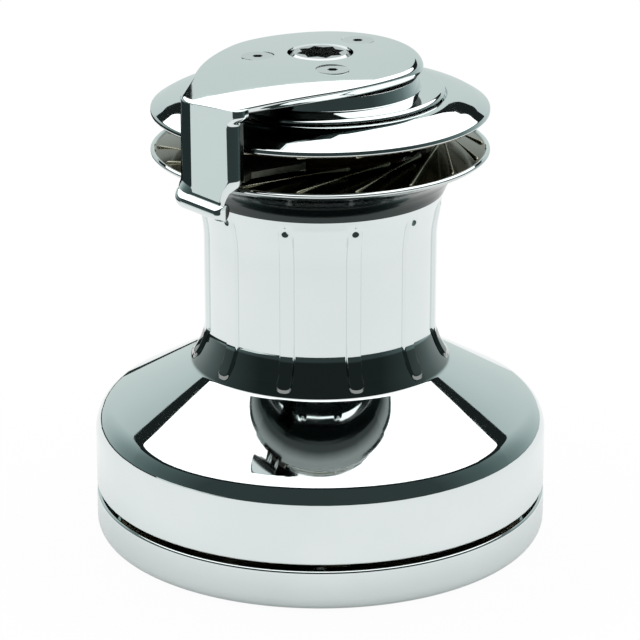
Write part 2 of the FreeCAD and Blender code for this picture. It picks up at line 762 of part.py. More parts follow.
# ---------------------------------------------------------------------------
# Spindle, gears and pawls
# ---------------------------------------------------------------------------
@dataclass(frozen=True)
class Ratchet:
    """The pawls of one ratchet: what carries them, how far they reach and which way they point."""

    carrier: str
    reach: float
    hand: float

    @property
    def heel(self) -> float:
        """Radius of the heels about the carrier's axis."""
        return size(f"{self.carrier} - pawl_heel_inset")

    @property
    def nose(self) -> float:
        """Radius of the noses' centres about the carrier's axis."""
        return self.reach - size("pawl_nose_radius")

    @property
    def length(self) -> float:
        """Distance from a pawl's heel to its nose."""
        spread = math.radians(size("pawl_spread"))
        return math.sqrt(self.heel ** 2 + self.nose ** 2
                         - 2 * self.heel * self.nose * math.cos(spread))

    def bearing(self, nose: float) -> float:
        """Degrees at the heel from the way outwards to the nose, when the nose is at a radius."""
        spread = math.acos((self.heel ** 2 + self.length ** 2 - nose ** 2)
                           / (2 * self.heel * self.length))
        return 180.0 - math.degrees(spread)

    @property
    def swing(self) -> float:
        """Degrees that a pawl swings inwards until its nose is within the carrier."""
        tucked = min(self.nose, size(self.carrier)) - size("pawl_nose_radius")
        return self.bearing(tucked) - self.bearing(self.nose)


def pawl_outline(ratchet: Ratchet, bearing: float, grow: float) -> Part.Face:
    """A pawl's plan about its heel: a taper between two rounds, wider by grow all over."""
    heel, nose = size("pawl_heel_radius") + grow, size("pawl_nose_radius") + grow
    lean = math.degrees(math.asin((heel - nose) / ratchet.length))
    turn = ratchet.hand * bearing
    centre = polar(ratchet.length, turn)
    points = [polar(heel, turn + 90 - lean), polar(heel, turn - 90 + lean)]
    far = [centre + polar(nose, turn - 90 + lean), centre + polar(nose, turn + 90 - lean)]
    taper = Part.Face(Part.makePolygon(points + far + points[:1]))
    ends = [Part.Face(Part.Wire(Part.makeCircle(heel, Vector(0, 0, 0)))),
            Part.Face(Part.Wire(Part.makeCircle(nose, centre)))]
    return taper.multiFuse(ends).removeSplitter()


def pawl_pocket(ratchet: Ratchet, height: float):
    """The room in a carrier that a pawl swings in."""
    rest, steps = ratchet.bearing(ratchet.nose), 5
    gap = size("running_gap")
    swept = [pawl_outline(ratchet, rest + (ratchet.swing + 1.5) * step / steps, gap)
             for step in range(steps + 1)]
    solids = [face.extrude(Vector(0, 0, height)) for face in swept]
    return solids[0].multiFuse(solids[1:])


def make_pawl_set(stem: str, ratchet: Ratchet, centre: Vector, azimuth: float, foot: str,
                  height: float) -> list:
    """Two opposite pawls of one ratchet, their springs and the pockets they lie in.

    Returns the pockets' shapes.
    """
    side_gap = size("pawl_side_gap")
    pawl_height = height - 3 * size("pawl_spring_wire") - side_gap
    pockets, springs = [], []
    for index, name in enumerate(("front", "rear")):
        turn = azimuth + 180.0 * index
        heel = centre + polar(ratchet.heel, turn, size(foot))
        plan = pawl_outline(ratchet, ratchet.bearing(ratchet.nose), 0.0)
        pawl = feature_of(f"{stem}_pawl_{name}", plan.extrude(Vector(0, 0, pawl_height)))
        pawl.Placement = turned(turn, heel)
        keep(f"{stem}_pawl_{name}", pawl)
        pocket = pawl_pocket(ratchet, height + side_gap)
        pocket.Placement = turned(turn, heel - Vector(0, 0, side_gap / 2))
        pockets.append(pocket)
        spring_foot = heel + Vector(0, 0, pawl_height + side_gap / 2)
        springs.append(pawl_spring(turned(turn, spring_foot)))
        print(f"{stem}_pawl_{name} turns about ({heel.x:.4f}, {heel.y:.4f}), "
              f"inwards by {ratchet.swing:.2f} degrees, hand {ratchet.hand:.0f}")
    keep(f"{stem}_pawl_springs", group(f"{stem}_pawl_springs", springs))
    return pockets


def pawl_spring(placement: Placement):
    """A wire ring with a leg, that rides on a pawl's heel and turns its nose outwards."""
    wire = size("pawl_spring_wire")
    radius = size("pawl_heel_radius") - 1.5 * wire
    ring = Part.makeTorus(radius, wire / 2)
    leg = Part.makeCylinder(wire / 2, radius * 0.7, Vector(radius, 0, 0), Vector(0, 1, 0))
    spring = ring.fuse(leg)
    spring.Placement = placement.multiply(Placement(Vector(0, 0, wire), Rotation()))
    return spring


def ratchet_reach(carrier: str) -> float:
    """Inner radius of the ratchet that runs round a carrier."""
    return size(carrier) + size("running_gap") * 2


def ratchet_gear(teeth: int, face: str, ratchet: Ratchet, shift: float, ratchet_turn: float):
    """A gear whose hub runs on a carrier and has an inward ratchet above a plain land."""
    height = size(face)
    blank = gear_blank(teeth, height, shift)
    land = Part.makeCylinder(size(ratchet.carrier + " + journal_gap"), height)
    tip = ratchet_reach(ratchet.carrier)
    wire = ratchet_wire(int(size("ratchet_teeth")), tip, tip + size("ratchet_depth"),
                        ratchet.hand)
    hollow = Part.Face(wire).extrude(Vector(0, 0, height))
    hollow.Placement = turned(ratchet_turn, Vector(0, 0, size("ratchet_land")))
    return blank.cut(land).cut(hollow)


def make_spindle_and_first_speed() -> None:
    """The main spindle with its pinion and pawls, and the first-speed gear round it."""
    body = new_body("spindle_blank")
    shoulder = "(spindle_radius - 1.6)"
    groove_foot = "(stem_top + running_gap)"
    groove_top = f"({groove_foot} + snap_ring_thickness)"
    neck = "(spindle_radius - snap_groove_depth)"
    revolve(body, [
        ("0", "base_plate_thickness - foot_bush_depth + running_gap"),
        ("spindle_foot_radius", "base_plate_thickness - foot_bush_depth + running_gap"),
        ("spindle_foot_radius", f"{LARGE_GEAR_FOOT} - running_gap"),
        (shoulder, f"{LARGE_GEAR_FOOT} - running_gap"), (shoulder, LARGE_GEAR_TOP),
        ("spindle_radius", f"{LARGE_GEAR_TOP} + 1"),
        ("spindle_radius", f"{FIRST_GEAR_FOOT} - running_gap"),
        ("first_carrier_radius", f"{FIRST_GEAR_FOOT} - running_gap"),
        ("first_carrier_radius", f"{FIRST_GEAR_TOP} + running_gap"),
        ("spindle_radius", f"{FIRST_GEAR_TOP} + running_gap"),
        ("spindle_radius", groove_foot), (neck, groove_foot), (neck, groove_top),
        ("spindle_radius", groove_top), ("spindle_radius", "spindle_top - spindle_brow"),
        ("spindle_radius - spindle_brow", "spindle_top"), ("0", "spindle_top")])
    sockets = []
    for turn in (0.0, 45.0):
        sketch = plane_sketch(body, "XY_Plane", "spindle_top", size("socket_azimuth") + turn)
        half = "socket_square / 2"
        polygon(sketch, [(f"0 - {half}", f"0 - {half}"), (half, f"0 - {half}"), (half, half),
                         (f"0 - {half}", half)])
        sockets.append(pad(body, sketch, "socket_depth", "Pocket"))
    pinion = turned_gear(gear_blank(SPINDLE_TEETH, size("large_gear_face"), size("spindle_shift")),
                         SPINDLE_PHASE, Vector(), size(LARGE_GEAR_FOOT))
    carrier = "first_carrier_radius"
    ratchet = Ratchet(carrier, ratchet_reach(carrier) + size("pawl_engagement"), CLOCKWISE)
    pawl_height = size("first_gear_face - ratchet_land - pawl_side_gap * 2")
    pockets = make_pawl_set("first_speed", ratchet, Vector(), FIRST_PAWL_AZIMUTH,
                            FIRST_PAWL_FOOT, pawl_height)
    joined = fuse("spindle_joined", [body, feature_of("spindle_pinion", pinion)])
    tool = feature_of("spindle_pockets", Part.makeCompound(pockets))
    keep("main_spindle", cut("main_spindle", joined, tool))

    lag = math.degrees(math.asin(size("pawl_nose_radius + pawl_face_gap") / ratchet.nose))
    ratchet_turn = FIRST_PAWL_AZIMUTH - size("pawl_spread") - lag
    gear = ratchet_gear(FIRST_TEETH, "first_gear_face", ratchet, 0.0, ratchet_turn - FIRST_PHASE)
    keep("first_speed_gear", feature_of("first_speed_gear", turned_gear(
        gear, FIRST_PHASE, Vector(), size(FIRST_GEAR_FOOT))))

    ring = new_body("spindle_snap_ring")
    inner, outer = f"({neck} + seat_gap)", "(spindle_radius + snap_ring_width)"
    revolve(ring, [(inner, groove_foot), (outer, groove_foot),
                   (outer, f"{groove_top} - journal_gap"), (inner, f"{groove_top} - journal_gap")])
    keep("spindle_snap_ring", ring)


def make_idlers() -> None:
    """The two idlers that take the first speed from its gear to the ring gear."""
    height = size("first_gear_face")
    for name, centre, phase in (("inner_idler_gear", INNER_IDLER, INNER_IDLER_PHASE),
                                ("outer_idler_gear", OUTER_IDLER, OUTER_IDLER_PHASE)):
        blank = gear_blank(IDLER_TEETH, height)
        hub = Part.makeCylinder(size("idler_hub_radius"), height + size("stem_flange_gap")
                                - size("running_gap"))
        bore = Part.makeCylinder(size("idler_pin_radius + journal_gap"), height * 2)
        gear = blank.fuse(hub).cut(bore)
        keep(name, feature_of(name, turned_gear(gear, phase, centre, size(FIRST_GEAR_FOOT))))


def make_layshaft_group() -> None:
    """The second speed: a large gear that drives a small pinion through pawls."""
    carrier = "second_hub_radius"
    ratchet = Ratchet(carrier, ratchet_reach(carrier) - size("running_gap"), COUNTER_CLOCKWISE)
    pawl_height = size("large_gear_face - ratchet_land - pawl_side_gap * 2")
    pockets = make_pawl_set("second_speed", ratchet, LAYSHAFT, SECOND_PAWL_AZIMUTH,
                            SECOND_PAWL_FOOT, pawl_height)
    foot = size("base_plate_thickness + running_gap")
    hub = Part.makeCylinder(size(carrier), size(PINION_FOOT) - foot, Vector(0, 0, foot))
    bore = Part.makeCylinder(size("layshaft_pin_radius + journal_gap"), 100.0)
    pinion = turned_gear(gear_blank(PINION_TEETH, size("second_pinion_face")), PINION_PHASE,
                         Vector(), size(PINION_FOOT))
    sleeve_top = size(FLANGE_FOOT) - size("running_gap")
    sleeve = Part.makeCylinder(size("layshaft_pin_radius * 1.4"), sleeve_top - foot,
                               Vector(0, 0, foot))
    shape = hub.multiFuse([pinion, sleeve]).cut(bore)
    shape.translate(LAYSHAFT)
    joined = feature_of("second_pinion_blank", shape.removeSplitter())
    tool = feature_of("second_pinion_pockets", Part.makeCompound(pockets))
    keep("second_speed_pinion", cut("second_speed_pinion", joined, tool))
    gear = ratchet_gear(LARGE_TEETH, "large_gear_face", ratchet, -size("spindle_shift"), 0.0)
    keep("second_speed_gear", feature_of("second_speed_gear", turned_gear(
        gear, LARGE_PHASE, LAYSHAFT, size(LARGE_GEAR_FOOT))))


def make_ring_gear() -> None:
    """The ring gear inside the drum's skirt, and the screws that hold it."""
    module, pitch = size("gear_module"), HALF_MODULE * RING_TEETH
    height = size("ring_gear_height")
    blank = Part.makeCylinder(size(f"{SKIRT_BORE} - seat_gap"), height)
    wire = gear_wire(RING_TEETH, pitch + 1.25 * module, pitch - 0.72 * module, 0.0,
                     size("tooth_backlash") / 2)
    hollow = Part.Face(wire).extrude(Vector(0, 0, height))
    holes, screws = [], []
    circle = size(RING_SCREW_CIRCLE)
    count = int(size("ring_screw_count"))
    head_depth = size("ring_screw_head_depth")
    for index in range(count):
        centre = polar(circle, 360.0 * (index + 0.5) / count)
        holes.append(Part.makeCylinder(size("ring_screw_radius + seat_gap"), height, centre))
        holes.append(Part.makeCylinder(size("ring_screw_head_radius + seat_gap"),
                                       head_depth + 1, centre))
        length = height - 1 + size("ring_screw_grip")
        screw = Part.makeCylinder(size("ring_screw_radius"), length, centre + Vector(0, 0, 1))
        head = Part.makeCylinder(size("ring_screw_head_radius"), head_depth,
                                 centre + Vector(0, 0, 1))
        drive = Part.makeCylinder(size("ring_screw_radius") * 0.8, 2.0, centre + Vector(0, 0, 1))
        screws.append(screw.fuse(head).cut(drive))
    shape = blank.cut(hollow).cut(Part.makeCompound(holes))
    lift = Vector(0, 0, size(RING_GEAR_FOOT))
    shape.translate(lift)
    keep("ring_gear", feature_of("ring_gear", shape))
    keep("ring_gear_screws", group("ring_gear_screws", [
        screw.translated(lift) for screw in screws]))


# ---------------------------------------------------------------------------
# Drum, bearings and jaws
# ---------------------------------------------------------------------------
CONE_SLOPE = "tan(drum_cone_angle * 1deg)"
NECK_FOOT = ("(drum_shoulder_height + (drum_skirt_radius - drum_neck_radius) * "
             + CONE_SLOPE + ")")
CONE_DROP = "(drum_cone_wall / cos(drum_cone_angle * 1deg))"


def cone_height(radius: str) -> str:
    """Height of the drum's cone at a radius."""
    return f"(drum_shoulder_height + (drum_skirt_radius - ({radius})) * {CONE_SLOPE})"


def make_drum() -> None:
    """The drum: skirt, cone, ribbed neck and the hub that carries the jaws."""
    body = new_body("drum_shell")
    foot_radius = "(drum_bore_radius + drum_foot_wall)"
    ledge = f"({SKIRT_BORE} - ring_ledge_width)"
    jaw_seat_top = "lower_throat_height"
    groove_foot = RETAINER_FOOT
    groove_top = f"({RETAINER_FOOT} + retainer_thickness)"
    groove_radius = "(drum_hub_radius - retainer_groove)"
    revolve(body, [
        (SKIRT_BORE, SKIRT_FOOT), ("drum_skirt_radius", SKIRT_FOOT),
        ("drum_skirt_radius", "drum_shoulder_height"), ("drum_neck_radius", NECK_FOOT),
        ("drum_neck_radius", "drum_neck_top"), ("jaw_seat_radius", "drum_neck_top"),
        ("jaw_seat_radius", jaw_seat_top), ("drum_hub_radius", jaw_seat_top),
        ("drum_hub_radius", groove_foot), (groove_radius, groove_foot),
        (groove_radius, groove_top), ("drum_hub_radius", groove_top),
        ("drum_hub_radius", "drum_hub_top"), ("drum_hub_bore_radius", "drum_hub_top"),
        ("drum_hub_bore_radius", "drum_neck_top"), ("drum_bore_radius", "drum_neck_top"),
        ("drum_bore_radius", DRUM_FOOT), (foot_radius, DRUM_FOOT),
        (foot_radius, f"{cone_height(foot_radius)} - {CONE_DROP}"),
        (ledge, f"{cone_height(ledge)} - {CONE_DROP}"), (ledge, RING_GEAR_TOP),
        (SKIRT_BORE, RING_GEAR_TOP)])
    round_ring(body, "drum_skirt_radius", "drum_shoulder_height", "drum_shoulder_radius")
    round_ring(body, "drum_neck_radius", NECK_FOOT, "drum_flare_radius")

    envelope = new_body("rib_envelope")
    inside = "(drum_neck_radius - 1)"
    raised = "(drum_neck_radius + rib_height)"
    rise = "(rib_height / cos(drum_cone_angle * 1deg))"
    outside = "(drum_neck_radius + drum_flare_radius)"
    revolve(envelope, [
        (inside, "rib_foot - 12"), (outside, "rib_foot - 12"),
        (outside, f"{cone_height(outside)} + {rise}"),
        (raised, f"{cone_height(raised)} + {rise}"), (raised, "rib_top"), (inside, "rib_top")])
    round_ring(envelope, raised, f"{cone_height(raised)} + {rise}", "drum_flare_radius - rib_height")

    bars = new_body("rib_bars")
    sketch = plane_sketch(bars, "XZ_Plane", "drum_bore_radius + drum_foot_wall")
    half = "rib_width / 2"
    belt(sketch, [("0", f"rib_foot + {half}", half), ("0", f"rib_top - {half}", half)])
    bar = pad(bars, sketch, "rib_width * 3")
    repeat(bars, [bar], "rib_count")
    bars.Placement = turned(size("180 / rib_count"))
    doc.recompute()
    ribs = common("drum_ribs", [envelope, bars])
    joined = fuse("drum_ribbed", [body, ribs])
    holes = []
    count = int(size("ring_screw_count"))
    circle = size(RING_SCREW_CIRCLE)
    for index in range(count):
        centre = polar(circle, 360.0 * (index + 0.5) / count, size(RING_GEAR_TOP))
        holes.append(Part.makeCylinder(size("ring_screw_radius + seat_gap"),
                                       size("ring_screw_grip") + 1, centre))
    keep("drum", cut("drum_cut", joined, feature_of("drum_holes", Part.makeCompound(holes))))


def make_bearings() -> None:
    """Roller bearings between stem and drum, and the washer that takes the drum's weight."""
    middle = "((stem_radius + drum_bore_radius) / 2)"
    roller_radius = "((drum_bore_radius - stem_radius) / 2 - journal_gap)"
    end_gap = "((cage_height - roller_length) / 2)"
    count = int(size("roller_count"))
    for name, foot in (("lower", "lower_cage_bottom"), ("upper", "upper_cage_bottom")):
        cage = new_body(name + "_cage_blank")
        inner, outer = f"{middle} - cage_wall / 2", f"{middle} + cage_wall / 2"
        top = f"{foot} + cage_height"
        revolve(cage, [(inner, foot), (outer, foot), (outer, top), (inner, top)])
        pockets, rollers = [], []
        for index in range(count):
            centre = polar(size(middle), 360.0 * index / count, size(f"{foot} + {end_gap}"))
            gap = size("running_gap")
            pockets.append(Part.makeCylinder(size(roller_radius) + gap,
                                             size("roller_length") + 2 * gap,
                                             centre - Vector(0, 0, gap)))
            rollers.append(Part.makeCylinder(size(roller_radius), size("roller_length"), centre))
        tool = feature_of(name + "_cage_pockets", Part.makeCompound(pockets))
        keep(name + "_bearing_cage", cut(name + "_bearing_cage", cage, tool))
        keep(name + "_bearing_rollers", group(name + "_bearing_rollers", rollers))
    washer = new_body("drum_thrust_washer")
    inner, outer = "stem_radius + seat_gap", "drum_bore_radius + thrust_washer_width"
    revolve(washer, [(inner, FLANGE_TOP), (outer, FLANGE_TOP), (outer, WASHER_TOP),
                     (inner, WASHER_TOP)])
    keep("drum_thrust_washer", washer)


def fin_solids(rim_radius: str, rim: float, throat: float, upward: bool) -> list:
    """Slanted ridges on a jaw's cone, each a bar from near the rim in to the throat."""
    count = int(size("jaw_fin_count"))
    inner_radius, outer_radius = size("jaw_throat_radius"), size(rim_radius) - 3.4
    slope = (rim - throat) / (size(rim_radius + " - jaw_rim_width") - inner_radius)
    proud, depth = size("jaw_fin_height"), 2.0
    fins = []
    for index in range(count):
        azimuth = size("jaw_fin_azimuth") + 360.0 * index / count
        outer = polar(outer_radius, azimuth, throat + (outer_radius - inner_radius) * slope)
        inner = polar(inner_radius, azimuth + size("jaw_fin_sweep"), throat)
        along = outer - inner
        low, high = (-depth, proud) if upward else (-proud, depth)
        across = Vector(-along.y, along.x, 0).normalize() * (size("jaw_fin_width") / 2)
        base = inner + Vector(0, 0, low)
        face = Part.Face(Part.makePolygon([base - across, base + across, base + across + along,
                                           base - across + along, base - across]))
        fins.append(face.extrude(Vector(0, 0, high - low)))
    return fins


def make_lower_jaw() -> None:
    """The jaw fixed to the drum's top, with slanted ridges that grip the rope."""
    body = new_body("lower_jaw_blank")
    rim_top = "(lower_jaw_rim_height + 2)"
    revolve(body, [
        ("jaw_seat_radius + seat_gap", "drum_neck_top"), ("drum_neck_radius + 1", "drum_neck_top"),
        ("drum_neck_radius + 5", "drum_neck_top + 2"), ("drum_neck_radius + 7", "drum_neck_top + 4"),
        ("lower_jaw_rim_radius - 15.5", "drum_neck_top + 5"),
        ("lower_jaw_rim_radius - 8.5", "lower_jaw_rim_height - 10.5"),
        ("lower_jaw_rim_radius - 2.7", "lower_jaw_rim_height - 6"),
        ("lower_jaw_rim_radius", "lower_jaw_rim_height - 1"),
        ("lower_jaw_rim_radius", "lower_jaw_rim_height + 1"),
        ("lower_jaw_rim_radius - 1", rim_top), ("lower_jaw_rim_radius - 1.6", rim_top),
        ("lower_jaw_rim_radius - jaw_rim_width", "lower_groove_height"),
        ("jaw_throat_radius", "lower_throat_height"),
        ("jaw_seat_radius + seat_gap", "lower_throat_height")])
    fins = fin_solids("lower_jaw_rim_radius", size("lower_groove_height"),
                      size("lower_throat_height"), True)
    ridges = feature_of("lower_jaw_fins", Part.makeCompound(fins))
    keep("lower_jaw", fuse("lower_jaw", [body, ridges]))


def make_upper_jaw() -> None:
    """The spring-loaded jaw that slides on the drum's hub, its spring and its retainer."""
    body = new_body("upper_jaw_blank")
    rim, dome = "upper_jaw_rim_radius", "upper_dome_radius"
    bore = "(drum_hub_radius + journal_gap)"
    steps = 5
    crown = []
    for index in range(steps + 1):
        share = f"({index} / {steps})"
        radius = f"(({rim} - 1.6) + ({dome} - {rim} + 1.6) * {share})"
        start = "(upper_jaw_rim_height + 2.2)"
        height = (f"({start} + (upper_dome_height - {start}) * {share}"
                  f" + upper_dome_bulge * 4 * {share} * (1 - {share}))")
        crown.append((radius, height))
    revolve(body, [
        (bore, "upper_throat_height"), ("jaw_throat_radius", "upper_throat_height"),
        (f"{rim} - jaw_rim_width", "upper_jaw_rim_height - 2"),
        (f"{rim} - 1", "upper_jaw_rim_height - 2"), (rim, "upper_jaw_rim_height - 1"),
        (rim, "upper_jaw_rim_height + 1")] + crown + [
        ("upper_well_radius", "upper_dome_height - 1.5"),
        ("upper_well_radius", "upper_web_height"), (bore, "upper_web_height")])
    fins = fin_solids("upper_jaw_rim_radius", size("upper_jaw_rim_height - 2"),
                      size("upper_throat_height"), False)
    ridges = feature_of("upper_jaw_fins", Part.makeCompound(fins))
    keep("upper_jaw", fuse("upper_jaw", [body, ridges]))

    spring = new_body("jaw_spring")
    inner, outer = "(drum_hub_radius + running_gap)", "(upper_well_radius - running_gap * 2)"
    foot, top = "(upper_web_height + seat_gap)", "(upper_web_height + jaw_spring_height)"
    wall = "jaw_spring_wall"
    revolve(spring, [(inner, f"{top} - {wall}"), (f"{outer} - {wall}", foot), (outer, foot),
                     (outer, f"{foot} + {wall}"), (f"{inner} + {wall}", top), (inner, top)])
    keep("jaw_spring", spring)

    retainer = new_body("jaw_retainer")
    inner = "(drum_hub_radius - retainer_groove + seat_gap)"
    outer = "(drum_hub_radius - retainer_groove + retainer_width)"
    top = f"({RETAINER_FOOT} + retainer_thickness - journal_gap)"
    foot = f"({RETAINER_FOOT} + journal_gap)"
    revolve(retainer, [(inner, foot), (outer, foot), (outer, top), (inner, top)])
    keep("jaw_retainer", retainer)


# ---------------------------------------------------------------------------
# Stationary cover, self-tailing arm and stripper
# ---------------------------------------------------------------------------
def make_cover() -> None:
    """The fixed conical cover between the stem and the arm."""
    body = new_body("cover_blank")
    edge_top = "(cover_edge_height + cover_edge_thickness)"
    bore = "(spindle_radius + snap_ring_width + 2)"
    revolve(body, [
        (bore, COVER_FOOT), ("stem_radius + 4", COVER_FOOT), ("cover_radius - 8", "cover_edge_height"),
        ("cover_radius", "cover_edge_height"), ("cover_radius", edge_top),
        ("cover_top_radius", "cover_top - 1.5"), ("cover_top_radius - 1.5", "cover_top"),
        (bore, "cover_top")])
    keep("hub_cover", cut("hub_cover", body, feature_of("cover_holes", arm_screw_holes())))


def arm_screw_holes():
    """Clearance for the three arm screws, with their countersinks at the arm's top."""
    cuts = []
    head = size("arm_screw_head_radius + seat_gap")
    shank = size("arm_screw_radius + seat_gap")
    for azimuth in ARM_SCREW_AZIMUTHS:
        top = arm_surface(size("arm_screw_circle"), azimuth) - size("arm_screw_sink")
        centre = polar(size("arm_screw_circle"), azimuth, size("stem_top") - 1)
        cuts.append(Part.makeCylinder(shank, size("arm_top") - centre.z + 1, centre))
        cone = polar(size("arm_screw_circle"), azimuth, top - (head - shank))
        cuts.append(Part.makeCone(shank, head, head - shank, cone))
        mouth = polar(size("arm_screw_circle"), azimuth, top)
        cuts.append(Part.makeCylinder(head, 3.0, mouth))
    return Part.makeCompound(cuts)


def arm_surface(radius: float, azimuth: float) -> float:
    """Height of the arm's crowned top at a place on it."""
    spot = polar(radius, azimuth - size("arm_azimuth"))
    along, across = size("arm_crown_along"), size("arm_crown_across")
    reach = along - across + math.sqrt(across ** 2 - spot.y ** 2)
    return size("arm_top") - along + math.sqrt(reach ** 2 - spot.x ** 2)


def make_arm_leg(half_width: str, tip: str):
    """The arm's leg, scooped away behind its foot, and the rolled lip that the rope passes."""
    leg = new_body("arm_leg")
    back = "arm_reach - arm_leg_depth + arm_heel_radius"
    back_edge = "arm_leg_width / 2 - arm_heel_radius"
    sketch = plane_sketch(leg, "XY_Plane", "arm_lip_height")
    belt(sketch, [(back, f"0 - ({back_edge})", "arm_heel_radius"),
                  (tip, f"0 - ({half_width})", "arm_corner_radius"),
                  (tip, half_width, "arm_corner_radius"), (back, back_edge, "arm_heel_radius")])
    pad(leg, sketch, f"{ARM_FOOT} - arm_lip_height + 1")

    scoop = new_body("arm_scoop")
    inside = "arm_reach - arm_leg_depth - arm_lip_radius"
    sketch = plane_sketch(scoop, "XZ_Plane")
    polygon(sketch, [
        (inside, "arm_scoop_rise + arm_lip_radius"), ("arm_reach - arm_leg_depth", "arm_scoop_rise"),
        ("arm_reach - arm_scoop_wall", "arm_scoop_shoulder"),
        ("arm_reach - arm_scoop_wall", "0 - arm_leg_depth"), (inside, "0 - arm_leg_depth"),
    ])
    pad(scoop, sketch, "arm_leg_width * 1.4", midplane=True)

    lip = new_body("arm_lip")
    sketch = plane_sketch(lip, "XZ_Plane", "arm_lip_shift")
    belt(sketch, [("arm_reach - arm_lip_radius", "0", "arm_lip_radius"),
                  ("arm_reach + arm_lip_reach - arm_lip_radius", "0", "arm_lip_radius")])
    pad(lip, sketch, "arm_lip_width", midplane=True)
    for piece in (scoop, lip):
        piece.Placement = Placement(Vector(), Rotation(Vector(1, 0, 0), -size("arm_lip_tilt")))
        piece.setExpression(".Placement.Base.z", bound("arm_lip_height"))
    doc.recompute()
    return cut("arm_scooped_leg", leg, scoop), lip


def make_arm() -> None:
    """The fixed self-tailing arm: a drop-shaped plate with a leg that feeds the rope."""
    half_width = "arm_leg_width / 2 - arm_corner_radius"
    tip = "arm_reach - arm_corner_radius"
    flank = "(arm_flank_radius - arm_hub_radius)"
    flank_x = f"0 - {flank} * cos(arm_flank_turn * 1deg)"
    flank_y = f"{flank} * sin(arm_flank_turn * 1deg)"
    plan = [("0", "0", "arm_hub_radius"), (flank_x, flank_y, "arm_flank_radius"),
            (tip, f"0 - ({half_width})", "arm_corner_radius"),
            (tip, half_width, "arm_corner_radius"),
            (flank_x, f"0 - {flank_y}", "arm_flank_radius")]
    plate = new_body("arm_plate")
    brow = "arm_top - arm_brow_drop"
    sketch = plane_sketch(plate, "XY_Plane", brow)
    belt(sketch, plan)
    pad(plate, sketch, "arm_plate_thickness - arm_brow_drop", reverse=True,
        draft="arm_undercut_angle")
    crown = new_body("arm_bevel")
    sketch = plane_sketch(crown, "XY_Plane", brow)
    belt(sketch, plan)
    pad(crown, sketch, "arm_brow_drop", draft="arm_bevel_angle")
    leg, lip = make_arm_leg(half_width, tip)

    hub = cylinder("arm_hub", "arm_hub_foot_radius", f"{ARM_FOOT} - cover_top + 1", "cover_top")
    joined = fuse("arm_joined", [plate, crown, leg, lip, hub])
    joined.Placement = turned(size("arm_azimuth"))
    dome = doc.addObject("Part::Torus", "arm_dome")
    dome.setExpression("Radius1", bound("arm_crown_along - arm_crown_across"))
    dome.setExpression("Radius2", bound("arm_crown_across"))
    dome.Placement = Placement(
        Vector(), Rotation(Vector(0, 0, 1), size("arm_azimuth")) * Rotation(Vector(1, 0, 0), 90))
    dome.setExpression(".Placement.Base.z", bound("arm_top - arm_crown_along"))
    domed = common("arm_domed", [joined, dome])
    bore = cylinder("arm_bore", "arm_socket_radius", "arm_top - cover_top + 2", "cover_top - 1")
    holes = feature_of("arm_holes", arm_screw_holes())
    bolts = feature_of("finger_screw_holes", Part.makeCompound(finger_screws("seat_gap")))
    keep("self_tailing_arm", cut("self_tailing_arm", domed,
                                 fuse("arm_cuts", [bore, holes, bolts])))


def make_arm_screws() -> None:
    """The three countersunk hexagon-socket screws in the arm's top."""
    screws = []
    head, shank = size("arm_screw_head_radius"), size("arm_screw_radius")
    for azimuth in ARM_SCREW_AZIMUTHS:
        top = arm_surface(size("arm_screw_circle"), azimuth) - size("arm_screw_sink")
        spot = polar(size("arm_screw_circle"), azimuth, top - (head - shank))
        cone = Part.makeCone(shank, head, head - shank, spot)
        length = size("arm_screw_length")
        rod = Part.makeCylinder(shank, length, spot - Vector(0, 0, length - (head - shank)))
        across = size("arm_screw_hex") / math.sqrt(3)
        corners = [spot + polar(across, 60.0 * corner, head - shank) for corner in range(7)]
        key = Part.Face(Part.makePolygon(corners)).extrude(Vector(0, 0, -3.0))
        screws.append(cone.fuse(rod).cut(key))
    keep("arm_screws", group("arm_screws", screws))


def finger_height(radius: float) -> float:
    """Height of the stripper's underside at a radius, clear of the lower jaw's ridges."""
    throat, edge = size("lower_throat_height"), size("lower_groove_height")
    inner, outer = size("jaw_throat_radius"), size("lower_jaw_rim_radius - jaw_rim_width")
    clear = size("jaw_fin_height + finger_clearance")
    drop = (throat - edge) * (radius - inner) / (outer - inner)
    return throat + clear - drop + size("finger_rise") * (radius - inner) / (outer - inner)


def finger_screws(gap: str) -> list:
    """Two screws that hold the stripper to the leg, each widened by a gap."""
    seat = size("arm_reach - arm_leg_depth")
    rods = []
    for side in (-1.0, 1.0):
        azimuth = math.radians(size("arm_azimuth"))
        out = Vector(math.cos(azimuth), math.sin(azimuth), 0)
        across = Vector(-out.y, out.x, 0) * (side * size("finger_screw_radius") * 2.5)
        height = finger_height(seat) + size("finger_thickness / 2")
        start = out * (seat - 6.0) + across + Vector(0, 0, height)
        grow = size(gap) if gap else 0.0
        rods.append(Part.makeCylinder(size("finger_screw_radius") + grow, 11.0, start, out))
    return rods


